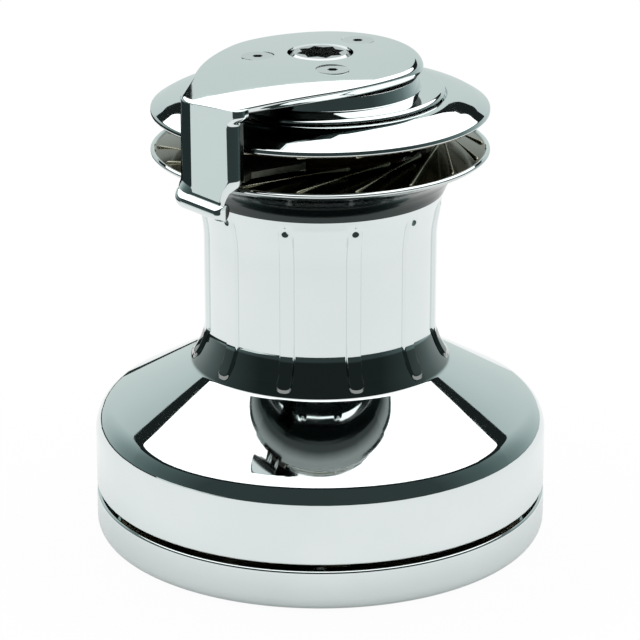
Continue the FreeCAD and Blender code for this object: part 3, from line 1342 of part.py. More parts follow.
def make_stripper() -> None:
    """The finger that lifts the rope out of the jaws, screwed to the arm's leg."""
    seat = size("arm_reach - arm_leg_depth")
    inner, thick = size("finger_inner_radius"), size("finger_thickness")
    low, high = finger_height(inner), finger_height(seat)
    section = [Vector(inner, 0, low), Vector(seat, 0, high), Vector(seat, 0, high + thick),
               Vector(inner, 0, low + thick)]
    section += [section[0]]
    slab = Part.Face(Part.makePolygon(section)).revolve(Vector(), Vector(0, 0, 1), 360)
    front, back = size("finger_root_front"), -size("finger_root_back")
    root, bend = seat - size("seat_gap"), seat - size("finger_bend")
    tip, tip_front = size("finger_tip_reach"), size("finger_tip_front")
    plan = [(root, back), (root, front), (bend, front), (tip, tip_front),
            (tip - size("finger_tip_width"), tip_front + 1), (inner / 2, front), (inner / 2, back)]
    corners = [Vector(x, y, 0) for x, y in plan + plan[:1]]
    keeper = Part.Face(Part.makePolygon(corners)).extrude(Vector(0, 0, size("arm_top")))
    keeper.rotate(Vector(), Vector(0, 0, 1), size("arm_azimuth"))
    finger = slab.common(keeper).cut(Part.makeCompound(finger_screws("seat_gap")))
    keep("stripper_finger", feature_of("stripper_finger", finger.removeSplitter()))
    keep("stripper_screws", group("stripper_screws", finger_screws("")))


# ---------------------------------------------------------------------------
# Phases that put the gears in mesh, and the pawls' places
# ---------------------------------------------------------------------------
PINION_PHASE = mesh_inside(RING_TEETH, 0.0, LAYSHAFT_AZIMUTH, PINION_TEETH)
OUTER_IDLER_PHASE = mesh_inside(RING_TEETH, 0.0, OUTER_IDLER_AZIMUTH, IDLER_TEETH)
BETWEEN = INNER_IDLER - OUTER_IDLER
INNER_IDLER_PHASE = mesh_outside(IDLER_TEETH, OUTER_IDLER_PHASE,
                                 math.degrees(math.atan2(BETWEEN.y, BETWEEN.x)), IDLER_TEETH)
FIRST_PHASE = mesh_outside(IDLER_TEETH, INNER_IDLER_PHASE, INNER_IDLER_AZIMUTH + 180.0,
                           FIRST_TEETH)
SPINDLE_PHASE = 0.0
LARGE_PHASE = mesh_outside(SPINDLE_TEETH, SPINDLE_PHASE, LAYSHAFT_AZIMUTH, LARGE_TEETH)
FIRST_PAWL_AZIMUTH = 0.0
SECOND_PAWL_AZIMUTH = 0.0


def main() -> None:
    """Build every piece, check it and write it."""
    make_base_ring()
    make_base_plate()
    make_stem()
    make_stem_fixings()
    make_bushes()
    make_spindle_and_first_speed()
    make_idlers()
    make_layshaft_group()
    make_ring_gear()
    make_drum()
    make_bearings()
    make_lower_jaw()
    make_upper_jaw()
    make_cover()
    make_arm()
    make_arm_screws()
    make_stripper()
    doc.recompute()

    for item in doc.Objects:
        bad = {"Invalid", "Error"} & set(item.State)
        if bad:
            raise RuntimeError(f"{item.Label} is {sorted(bad)}")
    os.makedirs("parts", exist_ok=True)
    for node in NODES:
        shape = node.Shape
        if shape.isNull() or not shape.isValid() or not shape.Solids:
            raise RuntimeError(f"{node.Label} has no valid solid")
        shape.exportStep(os.path.join("parts", node.Label + ".step"))
        box = shape.BoundBox
        print(f"{node.Label:26s} solids {len(shape.Solids):3d} volume {shape.Volume:12.1f} "
              f"z {box.ZMin:7.2f} to {box.ZMax:7.2f}")


main()
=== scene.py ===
"""A two-speed self-tailing winch in mirror-polished steel: its skins, finishes and studio.

Lengths are in metres in the frame of the CAD model and in millimetres in the size fields.
+Z is up, the deck is at zero, and the self-tailing arm's leg stands towards -X and -Y.
"""
import json
import logging
from dataclasses import dataclass, field
from enum import Enum

import bmesh
import bpy
import numpy as np
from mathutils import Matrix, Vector


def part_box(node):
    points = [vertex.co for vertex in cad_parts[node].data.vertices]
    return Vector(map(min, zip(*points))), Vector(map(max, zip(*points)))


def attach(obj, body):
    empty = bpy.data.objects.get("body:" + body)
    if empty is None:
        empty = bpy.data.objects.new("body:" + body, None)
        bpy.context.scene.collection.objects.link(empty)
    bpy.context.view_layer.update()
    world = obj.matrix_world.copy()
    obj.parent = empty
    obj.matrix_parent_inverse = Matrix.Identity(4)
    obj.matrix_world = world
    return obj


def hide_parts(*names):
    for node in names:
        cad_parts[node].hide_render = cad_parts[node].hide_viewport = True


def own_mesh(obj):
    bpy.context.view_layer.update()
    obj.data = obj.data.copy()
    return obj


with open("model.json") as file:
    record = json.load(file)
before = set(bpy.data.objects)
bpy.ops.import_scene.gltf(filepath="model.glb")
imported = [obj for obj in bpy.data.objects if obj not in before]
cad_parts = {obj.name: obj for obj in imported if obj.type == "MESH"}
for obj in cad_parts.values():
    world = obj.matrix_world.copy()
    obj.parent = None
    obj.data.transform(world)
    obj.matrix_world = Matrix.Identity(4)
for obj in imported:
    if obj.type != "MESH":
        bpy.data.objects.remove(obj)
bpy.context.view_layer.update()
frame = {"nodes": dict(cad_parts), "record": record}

logging.basicConfig(level=logging.INFO, format="%(name)s: %(message)s")
log = logging.getLogger("winch")

MM = 0.001
TURN = 2.0 * np.pi
Array = np.ndarray


# ---------------------------------------------------------------------------
# Turned profiles, grids and meshes
# ---------------------------------------------------------------------------
def smooth_step(value: Array | float) -> Array | float:
    """Zero below 0, one above 1, and 3t^2 - 2t^3 between.

    Args:
        value: Where along the step each point lies.

    Returns:
        The eased share, of the same shape.
    """
    share = np.clip(value, 0.0, 1.0)
    return share * share * (3.0 - 2.0 * share)


def signed_power(value: Array, power: float) -> Array:
    """The sign kept and the size raised: sign(v) |v|^p. Below 1 it squares an oval."""
    return np.sign(value) * np.abs(value) ** power


@dataclass(frozen=True)
class Corner:
    """A corner of a turned profile in millimetres.

    It has a radius, a height, how far it is rounded, and how close together the points of
    its arc and of the run after it lie, or 0 for the profile's own spacing.
    """

    radius: float
    height: float
    rounding: float = 0.0
    spacing: float = 0.0


def turned_profile(corners: list[Corner], spacing: float = 6.0, step: float = 5.0,
                   guard: float = 0.12) -> Array:
    """A closed profile: straight runs joined by tangent arcs.

    A rounded corner becomes an arc that touches both runs. Each run has points close to its
    ends, so that a long flat wall shades flat, and more points so that none is far apart.

    Args:
        corners: The corners in order round the profile.
        spacing: The greatest distance between points on a run, in millimetres.
        step: The greatest turn between points on an arc, in degrees.
        guard: How far from its ends a run's first and last points lie, in millimetres.

    Returns:
        An array of radius and height, one row per point, in metres.
    """
    spots = np.array([(c.radius, c.height) for c in corners])
    arcs = []
    for index, corner in enumerate(corners):
        spot = spots[index]
        back = spots[index - 1] - spot
        ahead = spots[(index + 1) % len(corners)] - spot
        back, ahead = back / np.linalg.norm(back), ahead / np.linalg.norm(ahead)
        opening = np.arccos(np.clip(back @ ahead, -1.0, 1.0))
        if corner.rounding <= 0.0 or opening > np.pi - 1e-4:
            arcs.append(spot[None, :])
            continue
        reach = corner.rounding / np.tan(opening / 2.0)
        middle = spot + (back + ahead) / np.linalg.norm(back + ahead) * (
            corner.rounding / np.sin(opening / 2.0))
        start, end = spot + back * reach - middle, spot + ahead * reach - middle
        first = np.arctan2(start[1], start[0])
        sweep = (np.arctan2(end[1], end[0]) - first + np.pi) % TURN - np.pi
        gap = corner.spacing or spacing
        count = max(3, int(np.ceil(abs(np.degrees(sweep)) / step)) + 1,
                    int(np.ceil(abs(sweep) * corner.rounding / gap)) + 1)
        angles = first + sweep * np.linspace(0.0, 1.0, count)
        arcs.append(middle + corner.rounding * np.stack([np.cos(angles), np.sin(angles)], 1))
    pieces = []
    for index, arc in enumerate(arcs):
        pieces.append(arc)
        start, end = arc[-1], arcs[(index + 1) % len(arcs)][0]
        length = np.linalg.norm(end - start)
        if length > 4.0 * guard:
            gap = corners[index].spacing or spacing
            inner = np.linspace(guard, length - guard, max(2, int(length / gap) + 1))
            pieces.append(start + (end - start) / length * inner[:, None])
    return np.concatenate(pieces) * MM


def revolved(profile: Array, angles: Array) -> Array:
    """A profile turned about the Z axis: x = r cos(a), y = r sin(a), z = h.

    Args:
        profile: Radius and height of each point.
        angles: The angle of each column.

    Returns:
        Points of the grid, one row per profile point and one column per angle.
    """
    radius, height = profile[:, :1], profile[:, 1:]
    return np.stack([radius * np.cos(angles), radius * np.sin(angles),
                     np.broadcast_to(height, (len(profile), len(angles)))], axis=2)


@dataclass(frozen=True)
class Patch:
    """A grid of points and whether its rows and its columns join up into rings."""

    points: Array
    rows_close: bool = True
    columns_close: bool = True

    def quads(self, first: int) -> Array:
        """Index of each quad's four corners: (r, c), (r, c+1), (r+1, c+1), (r+1, c).

        Args:
            first: Index of the patch's first point.

        Returns:
            One row of four indices for each quad.
        """
        rows, columns = self.points.shape[:2]
        row = np.arange(rows if self.rows_close else rows - 1)[:, None]
        column = np.arange(columns if self.columns_close else columns - 1)[None, :]
        next_row, next_column = (row + 1) % rows, (column + 1) % columns
        corners = [row * columns + column, row * columns + next_column,
                   next_row * columns + next_column, next_row * columns + column]
        return np.stack([np.broadcast_to(c, (row.size, column.size)).ravel()
                         for c in corners], axis=1) + first


def skin(name: str, patches: list[Patch], sharp: float = 34.0) -> bpy.types.Object:
    """One smooth mesh object from grids, with poles merged and faces pointing out.

    Args:
        name: The piece's name.
        patches: The grids, each a closed surface once its poles are merged.
        sharp: The least angle between faces that shows as a crisp edge, in degrees.

    Returns:
        The object, at the origin, linked to the scene.
    """
    firsts = np.cumsum([0] + [p.points.shape[0] * p.points.shape[1] for p in patches])
    points = np.concatenate([p.points.reshape(-1, 3) for p in patches])
    quads = np.concatenate([p.quads(int(f)) for p, f in zip(patches, firsts)])
    mesh = bpy.data.meshes.new(name)
    mesh.from_pydata(points.tolist(), [], quads.tolist())
    whole = bmesh.new()
    whole.from_mesh(mesh)
    bmesh.ops.remove_doubles(whole, verts=whole.verts, dist=1e-7)
    bmesh.ops.dissolve_degenerate(whole, dist=1e-8, edges=whole.edges)
    bmesh.ops.recalc_face_normals(whole, faces=whole.faces)
    whole.to_mesh(mesh)
    whole.free()
    mesh.shade_smooth()
    mesh.set_sharp_from_angle(angle=np.radians(sharp))
    piece = bpy.data.objects.new(name, mesh)
    bpy.context.scene.collection.objects.link(piece)
    return piece


def dress(piece: bpy.types.Object, finish: "Finish", body: str,
          nodes: tuple[str, ...]) -> bpy.types.Object:
    """Give a piece its finish, its body and the CAD nodes that it stands for.

    Args:
        piece: The finished mesh object.
        finish: The finish that it is made in.
        body: The body that it rides on.
        nodes: The CAD nodes that it replaces.

    Returns:
        The same piece.
    """
    piece.data.materials.clear()
    piece.data.materials.append(finish.material())
    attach(piece, body)
    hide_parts(*nodes)
    log.info("%s: %d faces on %s", piece.name, len(piece.data.polygons), body)
    return piece


# ---------------------------------------------------------------------------
# Shader sums that finishes and studio share
# ---------------------------------------------------------------------------
Socket = bpy.types.NodeSocket
Tree = bpy.types.NodeTree


def summed(tree: Tree, operation: str, first: Socket, second: Socket | float) -> Socket:
    """One sum of two values.

    Args:
        tree: The node tree.
        operation: Blender's name for the sum.
        first: The first value.
        second: The second value, a socket or a number.

    Returns:
        The socket with the result.
    """
    node = tree.nodes.new("ShaderNodeMath")
    node.operation = operation
    tree.links.new(first, node.inputs[0])
    if isinstance(second, Socket):
        tree.links.new(second, node.inputs[1])
    else:
        node.inputs[1].default_value = second
    return node.outputs[0]


def ranged(tree: Tree, source: Socket, spans: tuple, eased: bool = False) -> Socket:
    """Map a value from one span onto another and hold it at the ends.

    Args:
        tree: The node tree.
        source: The value.
        spans: Where the first span starts and ends, then the second.
        eased: Whether the way between is a smooth step.

    Returns:
        The socket with the mapped value.
    """
    node = tree.nodes.new("ShaderNodeMapRange")
    if eased:
        node.interpolation_type = "SMOOTHSTEP"
    for name, value in zip(("From Min", "From Max", "To Min", "To Max"), spans):
        node.inputs[name].default_value = value
    tree.links.new(source, node.inputs["Value"])
    return node.outputs["Result"]


def vector_sum(tree: Tree, operation: str, source: Socket, by: tuple | None = None) -> Socket:
    """One sum on a vector.

    Args:
        tree: The node tree.
        operation: Blender's name for the sum.
        source: The vector.
        by: The second vector, where the sum takes one.

    Returns:
        The socket with the result: a number for a length, else a vector.
    """
    node = tree.nodes.new("ShaderNodeVectorMath")
    node.operation = operation
    tree.links.new(source, node.inputs[0])
    if by is not None:
        node.inputs[1].default_value = by
    return node.outputs["Value" if operation == "LENGTH" else "Vector"]


def lead_out(tree: Tree, output: str, share: Socket, first: Socket, second: Socket) -> None:
    """Lead two shaders to the tree's output, mixed by the second one's share."""
    mix = tree.nodes.new("ShaderNodeMixShader")
    for source, socket in zip((share, first, second), mix.inputs):
        tree.links.new(source, socket)
    tree.links.new(mix.outputs[0], tree.nodes[output].inputs["Surface"])


def flat_place(tree: Tree) -> Socket:
    """The object's coordinates with the height taken out: (x, y, 0)."""
    place = tree.nodes.new("ShaderNodeTexCoord").outputs["Object"]
    return vector_sum(tree, "MULTIPLY", place, (1.0, 1.0, 0.0))


# ---------------------------------------------------------------------------
# Finishes
# ---------------------------------------------------------------------------
class Finish:
    """A finish that makes its material once and hands out the same one after that."""

    name: str = "finish"

    def material(self) -> bpy.types.Material:
        """The finish's material, made the first time it is asked for.

        Returns:
            The material.
        """
        found = bpy.data.materials.get(self.name)
        return found if found else self.build(bpy.data.materials.new(self.name))

    def build(self, material: bpy.types.Material) -> bpy.types.Material:
        """Fill in the node tree. Each finish has its own.

        Args:
            material: The empty material.

        Returns:
            The same material.
        """
        raise NotImplementedError

    @staticmethod
    def open_tree(material: bpy.types.Material) -> tuple[Tree, bpy.types.Node, Socket]:
        """Start a node tree on object coordinates.

        Args:
            material: The material to work on.

        Returns:
            Its tree, the main shader and the coordinates' socket.
        """
        material.use_nodes = True
        tree = material.node_tree
        place = tree.nodes.new("ShaderNodeTexCoord").outputs["Object"]
        return tree, tree.nodes["Principled BSDF"], place

    @staticmethod
    def noise(tree: Tree, place: Socket, scale: float, detail: float = 2.0,
              stretch: tuple = (1.0, 1.0, 1.0), warp: float = 0.0) -> Socket:
        """Cloudy noise on the object, drawn out along an axis if asked.

        Args:
            tree: The node tree.
            place: The coordinates' socket.
            scale: Cells per metre.
            detail: How many finer layers are added.
            stretch: How much the pattern is squeezed along X, Y and Z.
            warp: How far the pattern is bent by itself.

        Returns:
            The socket with the noise's height.
        """
        mapping = tree.nodes.new("ShaderNodeMapping")
        mapping.inputs["Scale"].default_value = stretch
        tree.links.new(place, mapping.inputs["Vector"])
        cloud = tree.nodes.new("ShaderNodeTexNoise")
        for name, value in (("Scale", scale), ("Detail", detail), ("Distortion", warp)):
            cloud.inputs[name].default_value = value
        tree.links.new(mapping.outputs["Vector"], cloud.inputs["Vector"])
        return cloud.outputs["Fac"]

    @staticmethod
    def spread(tree: Tree, source: Socket, low: float, high: float) -> Socket:
        """Map the middle of a noise's range onto low to high.

        Args:
            tree: The node tree.
            source: The noise.
            low: Value where the noise is low.
            high: Value where the noise is high.

        Returns:
            The socket with the mapped value.
        """
        return ranged(tree, source, (0.3, 0.7, low, high))

    @staticmethod
    def blend(tree: Tree, source: Socket, first: tuple, second: tuple) -> Socket:
        """Run from one colour to another as a noise rises.

        Args:
            tree: The node tree.
            source: The noise.
            first: Linear red, green and blue where the noise is low.
            second: The same where it is high.

        Returns:
            The socket with the colour.
        """
        ramp = tree.nodes.new("ShaderNodeValToRGB")
        for stop, position, colour in zip(ramp.color_ramp.elements, (0.32, 0.68),
                                          (first, second)):
            stop.position = position
            stop.color = (*colour, 1.0)
        tree.links.new(source, ramp.inputs["Fac"])
        return ramp.outputs["Color"]

    @staticmethod
    def relief(tree: Tree, source: Socket, depth: float) -> Socket:
        """Turn a height into a bump.

        Args:
            tree: The node tree.
            source: The height, from 0 to 1.
            depth: How deep a full step is, in metres.

        Returns:
            The socket with the normal.
        """
        bump = tree.nodes.new("ShaderNodeBump")
        bump.inputs["Strength"].default_value = 1.0
        bump.inputs["Distance"].default_value = depth
        tree.links.new(source, bump.inputs["Height"])
        return bump.outputs["Normal"]

    def wire(self, tree: Tree, shader: bpy.types.Node, colour: Socket, roughness: Socket,
             normal: Socket) -> None:
        """Lead colour, roughness and normal into the main shader."""
        for name, source in (("Base Color", colour), ("Roughness", roughness),
                             ("Normal", normal)):
            tree.links.new(source, shader.inputs[name])


@dataclass(frozen=True)
class PolishedSteel(Finish):
    """Mirror-polished stainless steel: faint swirls, hand-buffed waves and a cool tint."""

    name: str = "polished_steel"
    bright: tuple = (0.765, 0.815, 0.812)
    dull: tuple = (0.725, 0.785, 0.780)
    smoothest: float = 0.018
    roughest: float = 0.05
    wave: float = 0.000012
    cloud_scale: float = 14.0
    wipe_scale: float = 90.0
    wave_scale: float = 38.0

    def build(self, material: bpy.types.Material) -> bpy.types.Material:
        """Metal whose tint and gloss drift slowly and whose face waves very slightly.

        Args:
            material: The empty material.

        Returns:
            The same material.
        """
        tree, shader, place = self.open_tree(material)
        shader.inputs["Metallic"].default_value = 1.0
        clouds = self.noise(tree, place, self.cloud_scale, 3.0, warp=0.3)
        wipes = self.noise(tree, place, self.wipe_scale, 5.0, stretch=(1.0, 1.0, 0.25))
        waves = self.noise(tree, place, self.wave_scale, 1.0)
        self.wire(tree, shader, self.blend(tree, clouds, self.dull, self.bright),
                  self.spread(tree, wipes, self.smoothest, self.roughest),
                  self.relief(tree, waves, self.wave))
        return material


@dataclass(frozen=True)
class WorkedMetal(Finish):
    """A machined or cast metal with tool marks, stains and small pits."""

    name: str = "worked_metal"
    bright: tuple = (0.6, 0.61, 0.6)
    dull: tuple = (0.42, 0.43, 0.42)
    smoothest: float = 0.22
    roughest: float = 0.42
    tooling: tuple = (1.0, 1.0, 14.0)
    depth: float = 0.00004
    cloud_scale: float = 60.0
    mark_scale: float = 220.0

    def build(self, material: bpy.types.Material) -> bpy.types.Material:
        """Metal with fine lines drawn out across the tool's path over cloudy stains.

        Args:
            material: The empty material.

        Returns:
            The same material.
        """
        tree, shader, place = self.open_tree(material)
        shader.inputs["Metallic"].default_value = 1.0
        clouds = self.noise(tree, place, self.cloud_scale, 6.0, warp=0.6)
        marks = self.noise(tree, place, self.mark_scale, 4.0, stretch=self.tooling)
        self.wire(tree, shader, self.blend(tree, clouds, self.dull, self.bright),
                  self.spread(tree, marks, self.smoothest, self.roughest),
                  self.relief(tree, marks, self.depth))
        return material


@dataclass(frozen=True)
class ShadeBand:
    """Painted shade: a dull tone within a ring, between two radii and between two heights, in
    metres.
    """

    tone: tuple = (0.15, 0.147, 0.115)
    gloss: float = 0.14
    radii: tuple = (0.0, 0.0843)
    heights: tuple = (0.2066, 0.2263)
    feather: float = 0.0003

    def lay(self, material: bpy.types.Material) -> None:
        """Blend the colour and roughness that a material has into the band's painted shade.

        Args:
            material: A material whose shader has both sockets linked.
        """
        tree = material.node_tree
        shader = tree.nodes["Principled BSDF"]
        parts = tree.nodes.new("ShaderNodeSeparateXYZ")
        place = tree.nodes.new("ShaderNodeTexCoord").outputs["Object"]
        tree.links.new(place, parts.inputs[0])
        reach = vector_sum(tree, "LENGTH", flat_place(tree))
        share = None
        for source, limits in ((reach, self.radii), (parts.outputs["Z"], self.heights)):
            for limit, outer in zip(limits, (0.0, 1.0)):
                part = ranged(tree, source, (limit - self.feather, limit + self.feather,
                                             outer, 1.0 - outer))
                share = part if share is None else summed(tree, "MULTIPLY", share, part)
        for name, value in (("Base Color", (*self.tone, 1.0)), ("Roughness", self.gloss)):
            mix = tree.nodes.new("ShaderNodeMix")
            mix.data_type = "RGBA" if name == "Base Color" else "FLOAT"
            factor, clean, painted_shade = (socket for socket in mix.inputs if socket.enabled)
            tree.links.new(share, factor)
            tree.links.new(shader.inputs[name].links[0].from_socket, clean)
            painted_shade.default_value = value
            out = next(socket for socket in mix.outputs if socket.enabled)
            tree.links.new(out, shader.inputs[name])


@dataclass(frozen=True)
class ShadeBandSteel(PolishedSteel):
    """The same polish with bands of painted shade on it."""

    name: str = "grip_painted_shade_steel"
    shade_bands: tuple = ()

    def build(self, material: bpy.types.Material) -> bpy.types.Material:
        """The polish, with each band of painted shade laid over it.

        Args:
            material: The empty material.

        Returns:
            The same material.
        """
        super().build(material)
        for shade_band in self.shade_bands:
            shade_band.lay(material)
        return material


@dataclass(frozen=True)
class MouldedPlastic(Finish):
    """A matt moulded plastic with a fine grain."""

    name: str = "moulded_plastic"
    bright: tuple = (0.075, 0.075, 0.08)
    dull: tuple = (0.045, 0.045, 0.05)
    smoothest: float = 0.38
    roughest: float = 0.62
    grain: float = 0.00003
    cloud_scale: float = 45.0
    grain_scale: float = 900.0

    def build(self, material: bpy.types.Material) -> bpy.types.Material:
        """Plastic with cloudy colour and an even fine grain.

        Args:
            material: The empty material.

        Returns:
            The same material.
        """
        tree, shader, place = self.open_tree(material)
        clouds = self.noise(tree, place, self.cloud_scale, 4.0)
        grain = self.noise(tree, place, self.grain_scale, 3.0)
        self.wire(tree, shader, self.blend(tree, clouds, self.dull, self.bright),
                  self.spread(tree, grain, self.smoothest, self.roughest),
                  self.relief(tree, grain, self.grain))
        return material


# Painted shade: each tone darkens one band of a piece where it lies in shade or mirrors something
# dark, and makes it less polished there.
# Painted shade in the rope groove between the jaws: a dark brownish tone over its faces.
ROPE_GROOVE_SHADE = ShadeBand()
# Painted dark reflection: the lower jaw's underside darkened.
JAW_UNDERSIDE_SHADE = ShadeBand((0.27, 0.30, 0.292), 0.08, (0.0, 0.088), (0.17, 0.2058), 0.0006)
# Painted dark reflection: the lower jaw's inner underside near the throat made nearly black.
JAW_THROAT_FOOT_SHADE = ShadeBand((0.046, 0.056, 0.054), 0.14, (0.0, 0.0795), (0.17, 0.2052), 0.0028)
# Painted shade: the arm plate's underside made almost black.
PLATE_UNDERSIDE_SHADE = ShadeBand((0.020, 0.023, 0.022), 0.3, (0.0, 0.12), (0.24, 0.2489), 0.0003)
# Painted shade: the back of the arm's leg and its sides towards the drum made almost black.
LEG_BACK_SHADE = ShadeBand((0.035, 0.040, 0.038), 0.2, (0.0, 0.0962), (0.18, 0.2478), 0.0005)
# Painted dark reflection: the drum's flare between the neck and the cone darkened.
DRUM_FLARE_SHADE = ShadeBand((0.27, 0.285, 0.28), 0.04, (0.05, 0.0676), (0.0925, 0.1108), 0.0004)
# Painted shade: the screws' sockets and sunk sides below their tops made black.
SCREW_SOCKET_SHADE = ShadeBand((0.008, 0.008, 0.008), 0.6, (0.0, 0.05), (0.2, 0.2555))

POLISHED = PolishedSteel()
# Jaw steel with painted shade in the groove, under the lower jaw and at its throat foot.
GRIP_STEEL = ShadeBandSteel(shade_bands=(ROPE_GROOVE_SHADE, JAW_UNDERSIDE_SHADE, JAW_THROAT_FOOT_SHADE))
# Arm plate steel with painted shade on its underside.
PLATE_STEEL = ShadeBandSteel("plate_steel", shade_bands=(PLATE_UNDERSIDE_SHADE,))
# Leg steel with painted shade on its back.
LEG_STEEL = ShadeBandSteel("leg_steel", shade_bands=(LEG_BACK_SHADE,))
# Drum steel with painted dark reflection on its flare.
DRUM_STEEL = ShadeBandSteel("fillet_painted_shade_steel", shade_bands=(DRUM_FLARE_SHADE,))
# Painted shade: the fins take a dull brownish tone for the dark of the rope groove they stand in.
FIN_STEEL = WorkedMetal("groove_shade_fin_steel", (0.50, 0.49, 0.38), (0.33, 0.32, 0.24), 0.2, 0.34,
                        (1.0, 1.0, 1.0), 0.00001)
SPINDLE_STEEL = WorkedMetal("turned_spindle_steel", (0.62, 0.65, 0.645), (0.46, 0.48, 0.48),
                            0.10, 0.24)
# Bright screw steel with painted shade in its sockets.
SCREW_STEEL = ShadeBandSteel("bright_screw_steel", (0.72, 0.76, 0.755), (0.62, 0.66, 0.655),
                           0.05, 0.12, shade_bands=(SCREW_SOCKET_SHADE,))
GEAR_STEEL = WorkedMetal("ground_gear_steel", (0.5, 0.5, 0.49), (0.3, 0.3, 0.3), 0.25, 0.45)
SPRING_STEEL = WorkedMetal("blued_spring_steel", (0.36, 0.37, 0.4), (0.2, 0.21, 0.24),
                           0.2, 0.36)
BRONZE = WorkedMetal("greased_bronze", (0.62, 0.42, 0.21), (0.4, 0.25, 0.11), 0.28, 0.5,
                     (1.0, 1.0, 5.0), 0.00006)
BEARING_PLASTIC = MouldedPlastic("bearing_plastic")
STRIPPER_FACE = WorkedMetal("rope_worn_stripper", (0.24, 0.24, 0.20), (0.09, 0.09, 0.072),
                            0.3, 0.55, (5.0, 5.0, 1.0), 0.00008)


# ---------------------------------------------------------------------------
# Base ring, drum, jaws and cover: turned in one profile each
# ---------------------------------------------------------------------------
@dataclass
class BaseRing:
    """The polished ring round the winch's foot, with its bottom edge rolled under."""

    wall: float = 6.0
    shelf: float = 6.0
    plate_height: float = 9.0
    foot_rounding: float = 7.0
    lip_rounding: float = 1.5
    columns: int = 320

    def make(self) -> bpy.types.Object:
        """Turn the ring and dress it.

        Returns:
            The ring.
        """
        low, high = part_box("base_ring")
        outside, top = high.x / MM, high.z / MM
        bore = outside - self.wall
        inner = bore - self.shelf
        corners = [
            Corner(inner, 0.0, 0.4), Corner(outside, 0.0, self.foot_rounding),
            Corner(outside, top, self.lip_rounding), Corner(bore, top, 0.5),
            Corner(bore, self.plate_height), Corner(inner, self.plate_height)]
        angles = np.linspace(0.0, TURN, self.columns, endpoint=False)
        ring = skin("base_ring_skin", [Patch(revolved(turned_profile(corners), angles))])
        return dress(ring, POLISHED, "base", ("base_ring",))


@dataclass
class Drum:
    """The drum: skirt, shoulder, cone, flared neck and the ribs that grip the rope."""

    skirt_foot: float = 25.6
    skirt_radius: float = 118.2
    shoulder_height: float = 65.0
    shoulder_rounding: float = 16.4
    neck_radius: float = 58.8
    flare: tuple = ((67.8, 93.4, 4.0, 0.6), (61.9, 103.2, 38.0, 0.8),
                    (58.8, 112.0, 15.0, 4.0))
    crown_flare: tuple = ((58.8, 166.0, 60.0, 0.8), (61.0, 178.5, 34.0, 0.45),
                          (64.0, 186.0, 0.0))
    inside: tuple = ((50.0, 186.0), (50.0, 78.0), (57.0, 78.0), (57.0, 92.0),
                     (104.0, 62.0, 6.0), (112.0, 54.0))
    rib_count: int = 11
    rib_width: float = 7.4
    rib_height: float = 1.5
    rib_edge: float = 0.95
    rib_top: float = 184.5
    rib_foot: float = 95.5
    rib_top_fade: float = 9.0
    rib_foot_fade: float = 3.4
    rib_foot_lead: float = 0.6
    rib_dimple: tuple = (1.3, 1.9, 0.75)
    dimple_height: float = 180.6

    def profile(self) -> Array:
        """The drum's wall in section, outside first and then back down inside.

        Returns:
            Radius and height of each point.
        """
        skirt = [
            Corner(self.inside[-1][0], self.skirt_foot, 0.6),
            Corner(self.skirt_radius, self.skirt_foot, 1.2),
            Corner(self.skirt_radius, self.shoulder_height, self.shoulder_rounding)]
        rest = [Corner(*corner) for corner in (*self.flare, *self.crown_flare, *self.inside)]
        return turned_profile(skirt + rest, spacing=9.0, step=2.5)

    def rib_angles(self) -> Array:
        """The angle of each rib's middle line. The front, -Y, is midway between two ribs."""
        pitch = TURN / self.rib_count
        return -np.pi / 2.0 + pitch / 2.0 + np.arange(self.rib_count) * pitch

    def columns(self) -> Array:
        """Angles packed close together over each rib's edges.

        Returns:
            The angle of each column.
        """
        half = self.rib_width / 2.0 / self.neck_radius
        edge = self.rib_edge / self.neck_radius
        across = np.concatenate([
            np.linspace(-half - edge, -half + edge, 9),
            np.linspace(-half + edge * 1.4, half - edge * 1.4, 7),
            np.linspace(half - edge, half + edge, 9)])
        pitch = TURN / self.rib_count
        between = np.linspace(half + edge * 1.5, pitch - half - edge * 1.5, 6)
        one = np.concatenate([across, between])
        return (self.rib_angles()[:, None] + one[None, :]).ravel()

    def ribs(self, profile: Array, angles: Array) -> Array:
        """How far the wall is raised at each point: the rib's height, eased off at its edge.

        A rib is a bar with round ends. Its distance is sqrt(s^2 + e^2), where s is the way
        across from its middle line and e the way past the centre of its round end. It also
        fades out over a longer way at both ends. A dimple d exp(-(s / w)^2 - (z / t)^2)
        deep marks it near its top.

        Args:
            profile: Radius and height of each row.
            angles: The angle of each column.

        Returns:
            The rise of each point.
        """
        pitch = TURN / self.rib_count
        off = (angles - self.rib_angles()[0] + pitch / 2.0) % pitch - pitch / 2.0
        radius, height = profile[:, :1] / MM, profile[:, 1:] / MM
        across = radius * np.sin(off)[None, :]
        half = self.rib_width / 2.0
        past = np.maximum(np.maximum(height - (self.rib_top - half),
                                     (self.rib_foot + half) - height), 0.0)
        distance = np.sqrt(across ** 2 + past ** 2)
        raised = smooth_step((half + self.rib_edge / 2.0 - distance) / self.rib_edge)
        raised = raised * smooth_step((self.rib_top - height) / self.rib_top_fade)
        above = height - self.rib_foot + self.rib_foot_lead
        raised = raised * smooth_step(above / self.rib_foot_fade)
        wide, tall, deep = self.rib_dimple
        raised = raised - deep / self.rib_height * np.exp(
            -(across / wide) ** 2 - ((height - self.dimple_height) / tall) ** 2)
        outside = (height > self.rib_foot - 4.0) & (radius > self.neck_radius - 0.1)
        return np.where(outside, raised, 0.0) * self.rib_height * MM

    def make(self) -> bpy.types.Object:
        """Turn the drum, raise its ribs and dress it.

        Returns:
            The drum.
        """
        profile, angles = self.profile(), self.columns()
        run = np.roll(profile, -1, axis=0) - np.roll(profile, 1, axis=0)
        across = np.stack([run[:, 1], -run[:, 0]], 1)
        across /= np.linalg.norm(across, axis=1)[:, None]
        rise = self.ribs(profile, angles)
        radius = profile[:, :1] + across[:, :1] * rise
        height = profile[:, 1:] + across[:, 1:] * rise
        grid = np.stack([radius * np.cos(angles), radius * np.sin(angles), height], axis=2)
        drum = skin("drum_skin", [Patch(grid)])
        return dress(drum, DRUM_STEEL, "drum", ("drum",))


